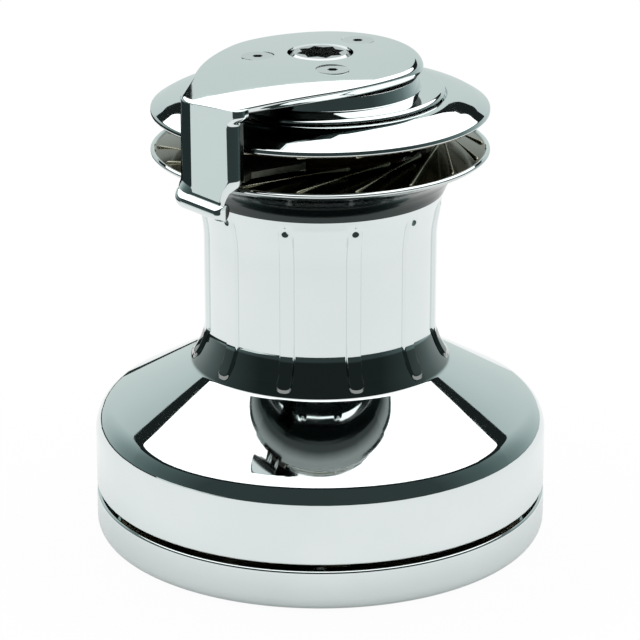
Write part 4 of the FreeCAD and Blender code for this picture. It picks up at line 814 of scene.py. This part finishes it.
@dataclass
class RopeJaw:
    """One of the two jaws that pinch the rope, with slanted fins on its cone."""

    name: str = "jaw"
    node: str = "lower_jaw"
    body: str = "drum"
    corners: tuple = ()
    fin_count: int = 18
    fin_azimuth: float = 261.9
    fin_sweep: float = 41.9
    fin_width: float = 1.7
    fin_height: float = 1.4
    fin_root: float = 1.0
    fin_power: float = 0.6
    fin_end_power: int = 60
    fin_inner: tuple = (62.0, 212.8)
    fin_outer: tuple = (83.3, 207.0)
    upward: bool = True
    columns: int = 320

    def fins(self) -> list[Patch]:
        """Bars from the rim in to the throat, each with a rounded crest and round ends.

        A fin follows the line from its outer end to its inner end. Its section is a squared
        oval, w/2 cos(t)^p across and h sin(t)^p up with the signs kept, and its lower half
        is sunk into the jaw. At the share s of its length it is sqrt(1 - |2s - 1|^q) of that.

        Returns:
            One closed grid for each fin.
        """
        side = 1.0 if self.upward else -1.0
        turn = np.radians(np.array([0.0, self.fin_sweep]))
        radii = np.array([self.fin_outer[0], self.fin_inner[0]]) * MM
        heights = np.array([self.fin_outer[1], self.fin_inner[1]]) * MM
        along = np.concatenate([[0.0, 0.004, 0.012, 0.03], np.linspace(0.08, 0.92, 8),
                                [0.97, 0.988, 0.996, 1.0]])
        end = np.abs(2.0 * along - 1.0) ** self.fin_end_power
        size = np.sqrt(np.clip(1.0 - end, 0.0, 1.0))
        round_ = np.linspace(0.0, TURN, 20, endpoint=False)
        wide = self.fin_width / 2.0 * MM * signed_power(np.cos(round_), self.fin_power)
        lift = np.where(np.sin(round_) > 0, self.fin_height, self.fin_root) * MM
        tall = side * lift * signed_power(np.sin(round_), self.fin_power)
        patches = []
        for index in range(self.fin_count):
            angle = np.radians(self.fin_azimuth) + TURN * index / self.fin_count + turn
            ends = np.stack([radii * np.cos(angle), radii * np.sin(angle), heights], 1)
            line = ends[0] + (ends[1] - ends[0]) * along[:, None]
            way = ends[1] - ends[0]
            across = np.array([-way[1], way[0], 0.0]) / np.hypot(way[0], way[1])
            grid = (line[:, None, :] + size[:, None, None] * (
                across[None, None, :] * wide[None, :, None]
                + np.array([0.0, 0.0, 1.0]) * tall[None, :, None]))
            patches.append(Patch(grid, rows_close=False))
        return patches

    def make(self) -> bpy.types.Object:
        """Turn the jaw, add its fins and dress it.

        Returns:
            The jaw.
        """
        angles = np.linspace(0.0, TURN, self.columns, endpoint=False)
        profile = turned_profile([Corner(*c) for c in self.corners], spacing=3.0, step=6.0)
        jaw = skin(self.name + "_skin", [Patch(revolved(profile, angles))])
        fins = skin(self.name + "_fins", self.fins())
        dress(fins, FIN_STEEL, self.body, (self.node,))
        return dress(jaw, GRIP_STEEL, self.body, (self.node,))


LOWER_JAW = RopeJaw(
    name="lower_jaw", node="lower_jaw", body="drum", upward=True,
    corners=((57.1, 186.0), (64.0, 186.0), (66.0, 190.6, 16.0), (69.6, 196.0, 16.0),
             (74.6, 200.0, 12.0), (84.2, 204.2, 3.0), (86.7, 206.0, 1.4),
             (86.7, 207.2, 0.8), (85.6, 208.0, 0.7), (84.9, 207.9, 0.4), (84.1, 207.0, 0.5),
             (62.0, 212.8, 0.5), (57.1, 212.8)),
    fin_inner=(62.0, 212.8), fin_outer=(83.3, 207.1))
UPPER_JAW = RopeJaw(
    name="upper_jaw", node="upper_jaw", body="upper_jaw", upward=False,
    corners=((54.2, 220.6), (62.0, 220.6, 0.5), (84.0, 226.0, 0.5), (85.4, 226.0, 0.5),
             (86.4, 227.0, 0.9), (86.4, 229.2, 1.4), (80.0, 233.0, 16.0), (70.5, 235.9, 30.0),
             (64.3, 236.0, 0.5), (64.1, 234.8, 0.2), (61.5, 234.6, 0.3), (61.5, 226.0),
             (54.2, 226.0)),
    fin_inner=(62.0, 220.6), fin_outer=(83.0, 225.8))


@dataclass
class JawSpring:
    """The disc spring that presses the upper jaw down, and flattens as the jaw rises."""

    node: str = "jaw_spring"
    body: str = "drum"
    joint: str = "upper_jaw_float"
    travel: float = 1.5
    bore: float = 54.4
    wall: float = 0.9
    rounding: float = 0.2
    columns: int = 192

    def make(self) -> bpy.types.Object:
        """Turn the spring, dress it and give it its own copy of its mesh.

        Returns:
            The spring.
        """
        low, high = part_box(self.node)
        foot, top, rim = low.z / MM, high.z / MM, high.x / MM
        corners = [
            Corner(self.bore, top - self.wall), Corner(rim - self.wall, foot),
            Corner(rim, foot, self.rounding), Corner(rim, foot + self.wall, self.rounding),
            Corner(self.bore + self.wall, top, self.rounding),
            Corner(self.bore, top, self.rounding)]
        angles = np.linspace(0.0, TURN, self.columns, endpoint=False)
        spring = skin("jaw_spring_skin", [Patch(revolved(turned_profile(corners), angles))])
        dress(spring, SPRING_STEEL, self.body, (self.node,))
        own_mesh(spring)
        return spring


@dataclass
class HubCover:
    """The fixed cover between the jaws and the arm: a flat ring round a raised boss."""

    edge_radius: float = 63.6
    edge_height: float = 236.6
    edge_wall: float = 2.2
    edge_width: float = 8.0
    foot_radius: float = 46.0
    bore: float = 21.0
    top_radius: float = 49.7
    boss_step: tuple = (1.5, 0.4)
    columns: int = 320

    def make(self) -> bpy.types.Object:
        """Turn the cover and dress it.

        Returns:
            The cover.
        """
        low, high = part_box("hub_cover")
        foot, top = low.z / MM, high.z / MM
        face = self.edge_height + self.edge_wall
        corners = [
            Corner(self.bore, foot), Corner(self.foot_radius, foot),
            Corner(self.edge_radius - self.edge_width, self.edge_height),
            Corner(self.edge_radius, self.edge_height, 0.4),
            Corner(self.edge_radius, face, 2.0),
            Corner(self.top_radius + self.boss_step[0], face + self.boss_step[1], 0.8),
            Corner(self.top_radius, top, 0.4), Corner(self.bore, top)]
        angles = np.linspace(0.0, TURN, self.columns, endpoint=False)
        cover = skin("hub_cover_skin", [Patch(revolved(turned_profile(corners), angles))])
        return dress(cover, POLISHED, "base", ("hub_cover",))


# ---------------------------------------------------------------------------
# Self-tailing arm
# ---------------------------------------------------------------------------
@dataclass
class TailingArm:
    """The fixed arm: a crowned drop-shaped plate and a leg with a rolled lip for the rope."""

    azimuth: float = 235.5
    top: float = 256.7
    crown_along: float = 1090.0
    crown_across: float = 452.0
    hub_radius: float = 52.2
    flank_radius: float = 140.0
    flank_turn: float = 84.0
    reach: float = 99.0
    leg_width: float = 35.8
    tip_rounding: float = 5.0
    left_rounding: float = 15.0
    left_flat: float = 6.3
    back: tuple = (1.0, 4.0, -42.0)
    edge_drop: float = 1.5
    back_drop: float = 3.2
    edge_width: float = 1.9
    back_width: float = 3.6
    undercut: float = 22.0
    undercut_ease: float = 1.0
    foot_rounding: float = 1.2
    bottom: float = 248.1
    bore: float = 16.8
    leg_depth: float = 9.0
    wall: float = 1.8
    left_wall: float = 7.5
    scoop: tuple = (1.0, 218.5, -8.0)
    lip_height: float = 199.5
    lip_radius: float = 4.0
    lip_reach: float = 3.2
    lip_swell: tuple = (0.2, 1.3)
    lip_tilt: float = 8.5
    tilt_start: tuple = (1.0, 236.0, -26.0)
    right_cut: tuple = (-8.0, 217.5, -17.0)
    right_ledge: tuple = (3.2, 243.2, 4.5)
    right_corner: float = 5.2
    corner_steps: tuple = ((-0.8, 242.0, 5.0), (-2.6, 212.0, -10.0))
    left_corner_step: tuple = (-7.0, 208.0, -8.0)
    left_cut: tuple = (1.6, 205.5, -6.0)
    screw_circle: float = 32.0
    screw_azimuths: tuple = (189.0, 281.0, 53.0)
    screw_head: float = 8.5
    screw_shank: float = 4.1

    @staticmethod
    def step(place: Array, step: tuple) -> Array:
        """A size that changes over a run: amount * smooth_step((place - start) / run).

        Args:
            place: Where, in millimetres.
            step: The amount, the start and the run, which is below zero for a way back.

        Returns:
            The change at each place.
        """
        amount, start, run = step
        return amount * smooth_step((place - start) / run)

    def crown(self, x: Array, y: Array) -> Array:
        """Height of the plate's top: a torus of radius along, bent again by radius across.

        z = top - along + sqrt((along - across + sqrt(across^2 - y^2))^2 - x^2)

        Args:
            x: Way out along the arm, in millimetres.
            y: Way across it.

        Returns:
            The height in millimetres.
        """
        reach = self.crown_along - self.crown_across + np.sqrt(self.crown_across ** 2 - y ** 2)
        return self.top - self.crown_along + np.sqrt(reach ** 2 - x ** 2)

    def outline(self) -> tuple[Array, Array]:
        """The plate seen from above: arcs of five circles joined by their outer tangents.

        Between two circles the outward normal n has n.c1 + r1 = n.c2 + r2, so it lies at
        angle(c2 - c1) - acos((r1 - r2) / |c2 - c1|).

        Returns:
            The points, in millimetres, and their outward normals.
        """
        half = self.leg_width / 2.0 - self.tip_rounding
        tip = self.reach - self.tip_rounding
        turn = np.radians(self.flank_turn)
        flank = self.flank_radius - self.hub_radius
        circles = np.array([
            (0.0, 0.0, self.hub_radius),
            (-flank * np.cos(turn), flank * np.sin(turn), self.flank_radius),
            (self.reach - self.left_rounding, -self.left_flat, self.left_rounding),
            (tip, half, self.tip_rounding),
            (-flank * np.cos(turn), -flank * np.sin(turn), self.flank_radius)])
        nexts = np.roll(circles, -1, axis=0)
        way = nexts[:, :2] - circles[:, :2]
        share = np.clip((circles[:, 2] - nexts[:, 2]) / np.linalg.norm(way, axis=1), -1.0, 1.0)
        leaving = np.arctan2(way[:, 1], way[:, 0]) - np.arccos(share)
        arriving = np.roll(leaving, 1)
        points, normals = [], []
        for circle, first, last in zip(circles, arriving, leaving):
            sweep = (last - first) % TURN
            count = max(10, int(np.ceil(np.degrees(sweep) / 2.5)))
            angle = first + sweep * np.linspace(0.0, 1.0, count)
            normal = np.stack([np.cos(angle), np.sin(angle)], 1)
            points.append(circle[:2] + circle[2] * normal)
            normals.append(normal)
        joined, facing = [], []
        for index, (run, normal) in enumerate(zip(points, normals)):
            joined.append(run)
            facing.append(normal)
            start, end = run[-1], points[(index + 1) % len(points)][0]
            length = np.linalg.norm(end - start)
            if length > 1.0:
                inner = np.linspace(0.3, length - 0.3, max(3, int(length / 3.0)))[:, None]
                joined.append(start + (end - start) / length * inner)
                facing.append(np.repeat(normal[-1:], len(inner), axis=0))
        spots, facing_ = np.concatenate(joined), np.concatenate(facing)
        kept = np.linalg.norm(spots - np.roll(spots, 1, axis=0), axis=1) > 1e-4
        return spots[kept], facing_[kept]

    def plate(self) -> Patch:
        """The plate as rings: crown from the bore out, rounded edge, undercut, underside.

        At a way t in from the outline the crown is lowered by d (1 - sqrt(1 - (1 - t/w)^2)),
        a quarter of an oval that meets the crown level and the outline upright. The undercut
        is a parabola over its first way e, slope d^2 / (2 e) in at the depth d, then straight.

        Returns:
            The closed grid, in the arm's own axes, in millimetres.
        """
        spots, normals = self.outline()
        bearing = np.arctan2(spots[:, 1], spots[:, 0])
        ring = self.bore * np.stack([np.cos(bearing), np.sin(bearing)], 1)
        back = self.step(spots[:, 0], self.back)
        drop = self.edge_drop + self.back_drop * back
        width = self.edge_width + self.back_width * back
        rows = []

        def add(place: Array, height: Array) -> None:
            """Keep one ring of points."""
            rows.append(np.column_stack([place, height]))

        inner = spots - normals * width[:, None]
        for share in np.concatenate([[0.0, 0.01], np.linspace(0.04, 0.97, 34), [0.995]]):
            place = ring + (inner - ring) * share
            add(place, self.crown(place[:, 0], place[:, 1]))
        for angle in np.radians(np.linspace(0.0, 90.0, 15)):
            inset = width * (1.0 - np.sin(angle))
            place = spots - normals * inset[:, None]
            add(place, self.crown(place[:, 0], place[:, 1]) - drop * (1.0 - np.cos(angle)))
        brow = rows[-1][:, 2]
        slope = np.tan(np.radians(self.undercut))
        ease, rounding = self.undercut_ease, self.foot_rounding
        for share in (4.0 / 15.0, 0.6, 1.0):
            depth = ease * share
            add(spots - normals * (slope * depth * share / 2.0), brow - depth)
        whole = brow - self.bottom - rounding
        for share in (0.0, 0.5, 1.0):
            depth = ease + (whole - ease) * share
            add(spots - normals * (slope * (depth - ease / 2.0))[:, None], brow - depth)
        last = slope * (whole - ease / 2.0)
        for angle in np.radians(np.linspace(20.0, 90.0, 6)):
            place = spots - normals * (last + rounding * (1.0 - np.cos(angle)))[:, None]
            add(place, np.full(len(spots), self.bottom + rounding * (1.0 - np.sin(angle))))
        foot = rows[-1][:, :2]
        for share in (0.05, 0.5, 1.0):
            add(foot + (ring - foot) * share, np.full(len(spots), self.bottom))
        return Patch(np.stack(rows))

    def leg_sections(self) -> dict[str, Array]:
        """Height, outer and inner face, sides, corners and tilt of the leg at each level.

        "thick" is the inner face on the left, where the wall stays thicker, and "far" is the
        left corner's radius. The bead of the lip is a circle, sqrt(r^2 - d^2) out at the
        height d from its middle.

        Returns:
            One array for each, in millimetres.
        """
        radius = self.lip_radius
        lip_top = self.lip_height + radius
        bead = self.lip_height + radius * np.sin(np.radians(np.linspace(80.0, -88.0, 26)))
        height = np.concatenate([
            np.linspace(251.0, 238.0, 30), np.linspace(237.0, 222.0, 8),
            np.linspace(221.0, lip_top + 0.2, 34), bead])
        drop = np.clip(height - self.lip_height, -radius, radius)
        round_ = np.sqrt(np.maximum(radius ** 2 - drop ** 2, 0.0))
        swell, spread = self.lip_swell
        near = np.where(height > lip_top - 0.6,
                        swell * np.exp(-((height - lip_top) / spread) ** 2), 0.0)
        outer = np.where(height < lip_top, self.reach + self.lip_reach - radius + round_,
                         self.reach)
        outer = np.maximum(outer, self.reach + near)
        root = self.reach - self.leg_depth
        scooped = self.step(height, self.scoop)
        inner = root + scooped * (self.leg_depth - self.wall)
        thick = root + scooped * (self.leg_depth - self.left_wall)
        inner, thick = (np.where(height < lip_top, np.minimum(
            side, self.reach - radius - round_ * 0.9), side) for side in (inner, thick))
        right = (self.leg_width / 2.0 + self.step(height, self.right_cut)
                 + self.step(height, self.right_ledge))
        corner = self.right_corner + sum(self.step(height, step) for step in self.corner_steps)
        far = self.left_rounding + self.step(height, self.left_corner_step)
        left = -self.left_flat - self.left_rounding + self.step(height, self.left_cut)
        tilt = np.tan(np.radians(self.lip_tilt)) * self.step(height, self.tilt_start)
        return {"height": height, "outer": outer, "inner": inner, "thick": thick,
                "right": right, "left": left, "corner": corner, "far": far, "tilt": tilt}

    def leg(self) -> Patch:
        """The leg: at each level a flat outer face, two round corners, sides and a back.

        A corner of radius c is (x - c + c sin a, y + c cos a) and stops at the inner face
        where the wall is thinner than the corner. The levels tip down towards the right.

        Returns:
            The closed grid, in the arm's own axes, in millimetres.
        """
        level = self.leg_sections()
        outer = level["outer"]
        share = np.linspace(0.0, 1.0, 12)
        sides = []
        for side, edge, corner, inner in (
                (1.0, level["right"], level["corner"], level["inner"]),
                (-1.0, level["left"], level["far"], level["thick"])):
            start = np.arcsin(np.clip((inner + 0.4 - (outer - corner)) / corner, 0.0, 0.98))
            angle = start[:, None] + (np.pi / 2.0 - start)[:, None] * share
            x = (outer - corner)[:, None] + corner[:, None] * np.sin(angle)
            y = (edge - side * corner)[:, None] + side * corner[:, None] * np.cos(angle)
            root = y[:, :1]
            fit = np.minimum(1.0, (outer - inner) / 8.0)[:, None]
            foot_x = inner[:, None] + 1.5 * (
                1.0 - np.cos(np.radians([0.0, 30.0, 60.0, 90.0]))) * fit
            foot_y = root - side * np.array([1.5, 0.75, 0.2, 0.0]) * fit
            side_x = x[:, :1] * 0.04 + foot_x[:, -1:] * 0.96
            near_x = x[:, :1] * 0.96 + foot_x[:, -1:] * 0.04
            run_x = np.concatenate([foot_x, side_x, near_x, x], 1)
            run_y = np.concatenate([foot_y, root, root, y], 1)
            sides.append((run_x, run_y))
        (right_x, right_y), (left_x, left_y) = sides
        middle = np.array([0.03, 0.35, 0.65, 0.97])
        face_y = right_y[:, -1:] + (left_y[:, -1:] - right_y[:, -1:]) * middle
        back_y = left_y[:, :1] + (right_y[:, :1] - left_y[:, :1]) * middle
        back_x = left_x[:, :1] + (right_x[:, :1] - left_x[:, :1]) * middle
        x = np.concatenate([right_x, np.repeat(outer[:, None], len(middle), 1), left_x[:, ::-1],
                            back_x], 1)
        y = np.concatenate([right_y, face_y, left_y[:, ::-1], back_y], 1)
        z = level["height"][:, None] - level["tilt"][:, None] * y
        grid = np.stack([x, y, z], 2)
        caps = [np.repeat(row.mean(0)[None, None, :], grid.shape[1], 1)
                for row in (grid[0], grid[-1])]
        return Patch(np.concatenate([caps[0], grid, caps[1]]), rows_close=False)

    def placed(self, patch: Patch) -> Patch:
        """A patch turned from the arm's own axes into the frame, in metres.

        Args:
            patch: The grid in millimetres, X out along the arm.

        Returns:
            The grid in metres.
        """
        turn = np.radians(self.azimuth)
        spin = np.array([[np.cos(turn), -np.sin(turn), 0.0], [np.sin(turn), np.cos(turn), 0.0],
                         [0.0, 0.0, 1.0]])
        return Patch(patch.points @ spin.T * MM, patch.rows_close, patch.columns_close)

    def screw_pit(self, azimuth: float) -> bpy.types.Object:
        """The shape of a countersunk screw's hole: mouth, cone and shank.

        Args:
            azimuth: Where the screw stands, in degrees.

        Returns:
            A closed object to cut with.
        """
        turn = np.radians(azimuth - self.azimuth)
        top = float(self.crown(self.screw_circle * np.cos(turn),
                               self.screw_circle * np.sin(turn))) - 0.05
        sink = self.screw_head - self.screw_shank
        profile = np.array([(0.0, top + 4.0), (self.screw_head, top + 4.0),
                            (self.screw_head, top), (self.screw_shank, top - sink),
                            (self.screw_shank, self.bottom - 3.0), (0.0, self.bottom - 3.0)])
        grid = revolved(profile, np.linspace(0.0, TURN, 64, endpoint=False))
        spot = np.radians(azimuth)
        grid = grid + self.screw_circle * np.array([np.cos(spot), np.sin(spot), 0.0])
        return skin("screw_pit", [Patch(grid * MM, rows_close=False)])

    def pierced(self, plate: bpy.types.Object) -> bpy.types.Object:
        """Cut the screws' holes through the plate and shade it again.

        Args:
            plate: The whole plate.

        Returns:
            The same object with its holes.
        """
        pits = [self.screw_pit(azimuth) for azimuth in self.screw_azimuths]
        for pit in pits:
            cut = plate.modifiers.new(pit.name, "BOOLEAN")
            cut.operation, cut.solver, cut.object = "DIFFERENCE", "EXACT", pit
        graph = bpy.context.evaluated_depsgraph_get()
        mesh = bpy.data.meshes.new_from_object(plate.evaluated_get(graph))
        plate.modifiers.clear()
        plate.data = mesh
        for pit in pits:
            bpy.data.objects.remove(pit)
        mesh.shade_smooth()
        mesh.set_sharp_from_angle(angle=np.radians(40.0))
        return plate

    def make(self) -> list[bpy.types.Object]:
        """Build the plate and the leg and dress them.

        Returns:
            The two pieces.
        """
        plate = self.pierced(skin("arm_plate_skin", [self.placed(self.plate())], sharp=40.0))
        leg = skin("arm_leg_skin", [self.placed(self.leg())], sharp=40.0)
        dress(plate, PLATE_STEEL, "base", ("self_tailing_arm",))
        dress(leg, LEG_STEEL, "base", ("self_tailing_arm",))
        return [plate, leg]


# ---------------------------------------------------------------------------
# Parts that keep their CAD shape
# ---------------------------------------------------------------------------
@dataclass
class KeptParts:
    """The CAD nodes whose own shape is right, each with the finish of its slot."""

    finishes: dict = field(default_factory=lambda: {
        "mirror_steel": POLISHED, "spindle_steel": SPINDLE_STEEL, "screw_steel": SCREW_STEEL,
        "bronze": BRONZE, "gear_steel": GEAR_STEEL, "spring_steel": SPRING_STEEL,
        "bearing_plastic": BEARING_PLASTIC, "stripper_plastic": STRIPPER_FACE})

    def make(self) -> None:
        """Put each slot's finish on its nodes' material slots."""
        slot_of = {row["node"]: row["material_slot"] for row in frame["record"]["subparts"]}
        for name, node in frame["nodes"].items():
            finish = self.finishes[slot_of[name]]
            for place in node.material_slots:
                place.material = finish.material()
            log.info("%s: CAD shape in %s", name, finish.name)


# ---------------------------------------------------------------------------
# Studio
# ---------------------------------------------------------------------------
class Seen(Enum):
    """Which rays a studio piece shows itself to, besides the light that it gives."""

    BY_ALL = "all"
    IN_REFLECTIONS = "reflections"


@dataclass
class Studio:
    """Camera, paper floor with a board and a mat, softbox with its frame, and cloths."""

    aim_height: float = 0.1125
    distance: float = 1.566
    elevation: float = 19.76
    lens: float = 168.75
    sensor: float = 36.0
    picture_shift: float = -0.00046875
    box_height: float = 0.43
    box_half: tuple = (0.548, 0.36)
    box_squareness: tuple = (1.85, 2.6)
    box_level: float = 1.75
    frame_drop: float = 0.066
    frame_level: tuple = (0.012, 0.016, 0.016)
    frame_gap: float = 0.15
    shell: float = 3.0
    room_half: float = 2.2
    room_floor: float = -0.03
    fill: tuple = (0.95, 1.0, 1.0)
    fill_level: float = 0.6
    paper_colour: tuple = (0.86, 0.87, 0.87)
    paper_mirrored: tuple = (0.108, 0.19, 0.30, 0.90)
    paper_seen: tuple = (0.14, 0.26, 0.965, 1.0)
    floor_radius: float = 0.605
    board: tuple = ((-1.02, -0.50), (-0.54, -0.13))
    board_colour: tuple = (0.74, 0.80, 0.79)
    mat_arc: tuple = (80.0, 215.0)
    mat_reach: float = 1.0
    mat_colour: tuple = (0.02, 0.03, 0.03)
    cloth: tuple = ((-1.0, (0.033, 0.047, 0.046)), (-0.5, (0.036, 0.052, 0.051)),
                    (0.0, (0.085, 0.125, 0.123)), (0.26, (0.14, 0.19, 0.186)),
                    (0.5, (0.27, 0.345, 0.34)), (0.64, (0.39, 0.47, 0.465)),
                    (0.77, (0.50, 0.58, 0.572)), (0.87, (0.59, 0.67, 0.66)),
                    (1.0, (0.66, 0.73, 0.715)))

    def camera(self) -> None:
        """Place the camera in front, looking along +Y and down at the winch's middle."""
        lift = np.radians(self.elevation)
        data = bpy.data.cameras.new("camera")
        data.lens, data.sensor_width = self.lens, self.sensor
        data.shift_x = self.picture_shift
        data.clip_start, data.clip_end = 0.05, 50.0
        view = bpy.data.objects.new("camera", data)
        bpy.context.scene.collection.objects.link(view)
        back = Vector((0.0, -np.cos(lift), np.sin(lift)))
        view.location = Vector((0.0, 0.0, self.aim_height)) + back * self.distance
        view.rotation_mode = "QUATERNION"
        view.rotation_quaternion = (-back).to_track_quat("-Z", "Y")
        bpy.context.scene.camera = view

    def glow(self, name: str, colour: tuple, level: float) -> bpy.types.Material:
        """A plain glowing cloth.

        Args:
            name: The material's name.
            colour: Linear red, green and blue.
            level: Strength of the glow.

        Returns:
            The material.
        """
        material = bpy.data.materials.new(name)
        material.use_nodes = True
        nodes, links = material.node_tree.nodes, material.node_tree.links
        nodes.clear()
        light = nodes.new("ShaderNodeEmission")
        light.inputs["Color"].default_value = (*colour, 1.0)
        light.inputs["Strength"].default_value = level
        out = nodes.new("ShaderNodeOutputMaterial")
        links.new(light.outputs[0], out.inputs["Surface"])
        return material

    def cloths(self) -> bpy.types.Material:
        """Cloth that runs from black in front, by way of the sides, to pale grey behind.

        The shade follows y / sqrt(x^2 + y^2), the sine of the bearing round the winch.

        Returns:
            The material.
        """
        material = self.glow("studio_cloths", (1.0, 1.0, 1.0), 1.0)
        tree = material.node_tree
        parts = tree.nodes.new("ShaderNodeSeparateXYZ")
        tree.links.new(vector_sum(tree, "NORMALIZE", flat_place(tree)), parts.inputs[0])
        ramp = tree.nodes.new("ShaderNodeValToRGB")
        stops = ramp.color_ramp.elements
        while len(stops) < len(self.cloth):
            stops.new(0.5)
        for stop, (sine, colour) in zip(stops, self.cloth):
            stop.position = (sine + 1.0) / 2.0
            stop.color = (*colour, 1.0)
        share = ranged(tree, parts.outputs["Y"], (-1.0, 1.0, 0.0, 1.0))
        tree.links.new(share, ramp.inputs["Fac"])
        light = next(node for node in tree.nodes if node.bl_idname == "ShaderNodeEmission")
        tree.links.new(ramp.outputs["Color"], light.inputs["Color"])
        return material

    def paper(self) -> bpy.types.Material:
        """Pale floor paper, whiter to camera and glossy rays the farther it is from the foot.

        Returns:
            The material.
        """
        material = bpy.data.materials.new("floor_paper")
        material.use_nodes = True
        tree = material.node_tree
        shader = tree.nodes["Principled BSDF"]
        shader.inputs["Base Color"].default_value = (*self.paper_colour, 1.0)
        shader.inputs["Roughness"].default_value = 0.9
        reach = vector_sum(tree, "LENGTH", tree.nodes.new("ShaderNodeTexCoord").outputs["Object"])
        path = tree.nodes.new("ShaderNodeLightPath").outputs
        mirrored = summed(tree, "MAXIMUM", path["Is Glossy Ray"], path["Is Transmission Ray"])
        mirrored = summed(tree, "MULTIPLY", mirrored,
                          ranged(tree, reach, self.paper_mirrored, eased=True))
        seen = summed(tree, "MULTIPLY", path["Is Camera Ray"],
                      ranged(tree, reach, self.paper_seen, eased=True))
        white = tree.nodes.new("ShaderNodeEmission")
        white.inputs["Strength"].default_value = 1.0
        lead_out(tree, "Material Output", summed(tree, "MAXIMUM", mirrored, seen),
                 shader.outputs[0], white.outputs[0])
        return material

    def world(self) -> None:
        """White to camera, glossy and transmitted rays, and a soft fill for the rest."""
        world = bpy.data.worlds.new("studio_world")
        bpy.context.scene.world = world
        world.use_nodes = True
        tree = world.node_tree
        fill = tree.nodes["Background"]
        fill.inputs["Color"].default_value = (*self.fill, 1.0)
        fill.inputs["Strength"].default_value = self.fill_level
        white = tree.nodes.new("ShaderNodeBackground")
        white.inputs["Color"].default_value = (1.0, 1.0, 1.0, 1.0)
        white.inputs["Strength"].default_value = 1.0
        path = tree.nodes.new("ShaderNodeLightPath").outputs
        seen = summed(tree, "MAXIMUM", path["Is Camera Ray"], path["Is Glossy Ray"])
        seen = summed(tree, "MAXIMUM", seen, path["Is Transmission Ray"])
        lead_out(tree, "World Output", seen, fill.outputs[0], white.outputs[0])

    def sheet(self, name: str, patch: Patch, material: bpy.types.Material,
              seen: Seen = Seen.IN_REFLECTIONS) -> bpy.types.Object:
        """A stage piece from a grid of points.

        Args:
            name: Its name.
            patch: The grid.
            material: What it is made of.
            seen: Which rays see it.

        Returns:
            The object.
        """
        piece = skin(name, [patch])
        piece.data.materials.append(material)
        if seen is Seen.IN_REFLECTIONS:
            piece.visible_camera = False
            piece.visible_shadow = False
        return piece

    def box_rim(self, bearing: Array) -> Array:
        """The softbox's rim: |x/a|^p + |y/b|^p = 1, with a squarer p behind than in front.

        Args:
            bearing: Angle round the winch's axis, in radians.

        Returns:
            X and Y of each point.
        """
        power = np.where(np.sin(bearing) > 0.0, self.box_squareness[1], self.box_squareness[0])
        size = (np.abs(np.cos(bearing) / self.box_half[0]) ** power
                + np.abs(np.sin(bearing) / self.box_half[1]) ** power) ** (-1.0 / power)
        return np.stack([size * np.cos(bearing), size * np.sin(bearing)], 1)

    def lights(self) -> None:
        """The softbox overhead, the frame that hangs round it, and the cloths all about."""
        rim = self.box_rim(np.linspace(0.0, TURN, 240, endpoint=False))
        flat = np.stack([np.column_stack([rim * share, np.full(len(rim), self.box_height)])
                         for share in np.linspace(0.0, 1.0, 6)])
        self.sheet("softbox", Patch(flat, rows_close=False),
                   self.glow("softbox_cloth", (1.0, 1.0, 1.0), self.box_level))
        first = np.arccos(-self.frame_gap / self.box_half[0])
        hung = self.box_rim(np.linspace(first, TURN + np.pi - first, 240))
        frame_rows = [np.column_stack([hung, np.full(len(hung), self.box_height - drop)])
                      for drop in (0.0, self.frame_drop)]
        self.sheet("softbox_frame", Patch(np.stack(frame_rows), False, False),
                   self.glow("frame_cloth", self.frame_level, 1.0))
        cloths = self.cloths()
        lift = np.radians(np.linspace(-40.0, 90.0, 24))[:, None]
        turn = np.linspace(0.0, TURN, 96, endpoint=False)[None, :]
        shell = np.stack([np.cos(lift) * np.cos(turn), np.cos(lift) * np.sin(turn),
                          np.sin(lift) * np.ones_like(turn)], 2) * self.shell
        self.sheet("studio_cloths", Patch(shell, rows_close=False), cloths)
        span = np.linspace(-self.room_half, self.room_half, 5)
        x, y = np.meshgrid(span, span)
        self.sheet("room_floor", Patch(np.stack([x, y, np.full_like(x, self.room_floor)], 2),
                                       False, False), cloths)

    def floor(self) -> None:
        """A disc of pale paper with a pale board on its left edge and a dark mat beyond."""
        turn = np.linspace(0.0, TURN, 128, endpoint=False)
        rings = np.array([0.0, 0.25, 0.5, 0.75, 1.0])[:, None] * self.floor_radius
        disc = np.stack([rings * np.cos(turn), rings * np.sin(turn),
                         np.zeros((len(rings), len(turn)))], 2)
        self.sheet("paper_floor", Patch(disc, rows_close=False), self.paper(), Seen.BY_ALL)
        x, y = np.meshgrid(*(np.linspace(*side, 3) for side in self.board))
        self.sheet("pale_board", Patch(np.stack([x, y, np.full_like(x, 0.003)], 2), False, False),
                   self.glow("board_cloth", self.board_colour, 1.0))
        turn = np.radians(np.linspace(*self.mat_arc, 48))
        reach = np.array([self.floor_radius, self.mat_reach])[:, None]
        mat = np.stack([reach * np.cos(turn), reach * np.sin(turn), np.full((2, 48), -0.002)], 2)
        self.sheet("dark_mat", Patch(mat, False, False),
                   self.glow("mat_cloth", self.mat_colour, 1.0))

    def make(self) -> None:
        """Set up the studio."""
        settings = bpy.context.scene.view_settings
        settings.view_transform = "Standard"
        self.camera()
        self.world()
        self.floor()
        self.lights()
        log.info("studio ready")


def main() -> None:
    """Build the winch's skins, dress the CAD parts, and set up the studio."""
    Studio().make()
    KeptParts().make()
    BaseRing().make()
    Drum().make()
    LOWER_JAW.make()
    UPPER_JAW.make()
    JawSpring().make()
    HubCover().make()
    TailingArm().make()


if __name__ == "__main__":
    main()
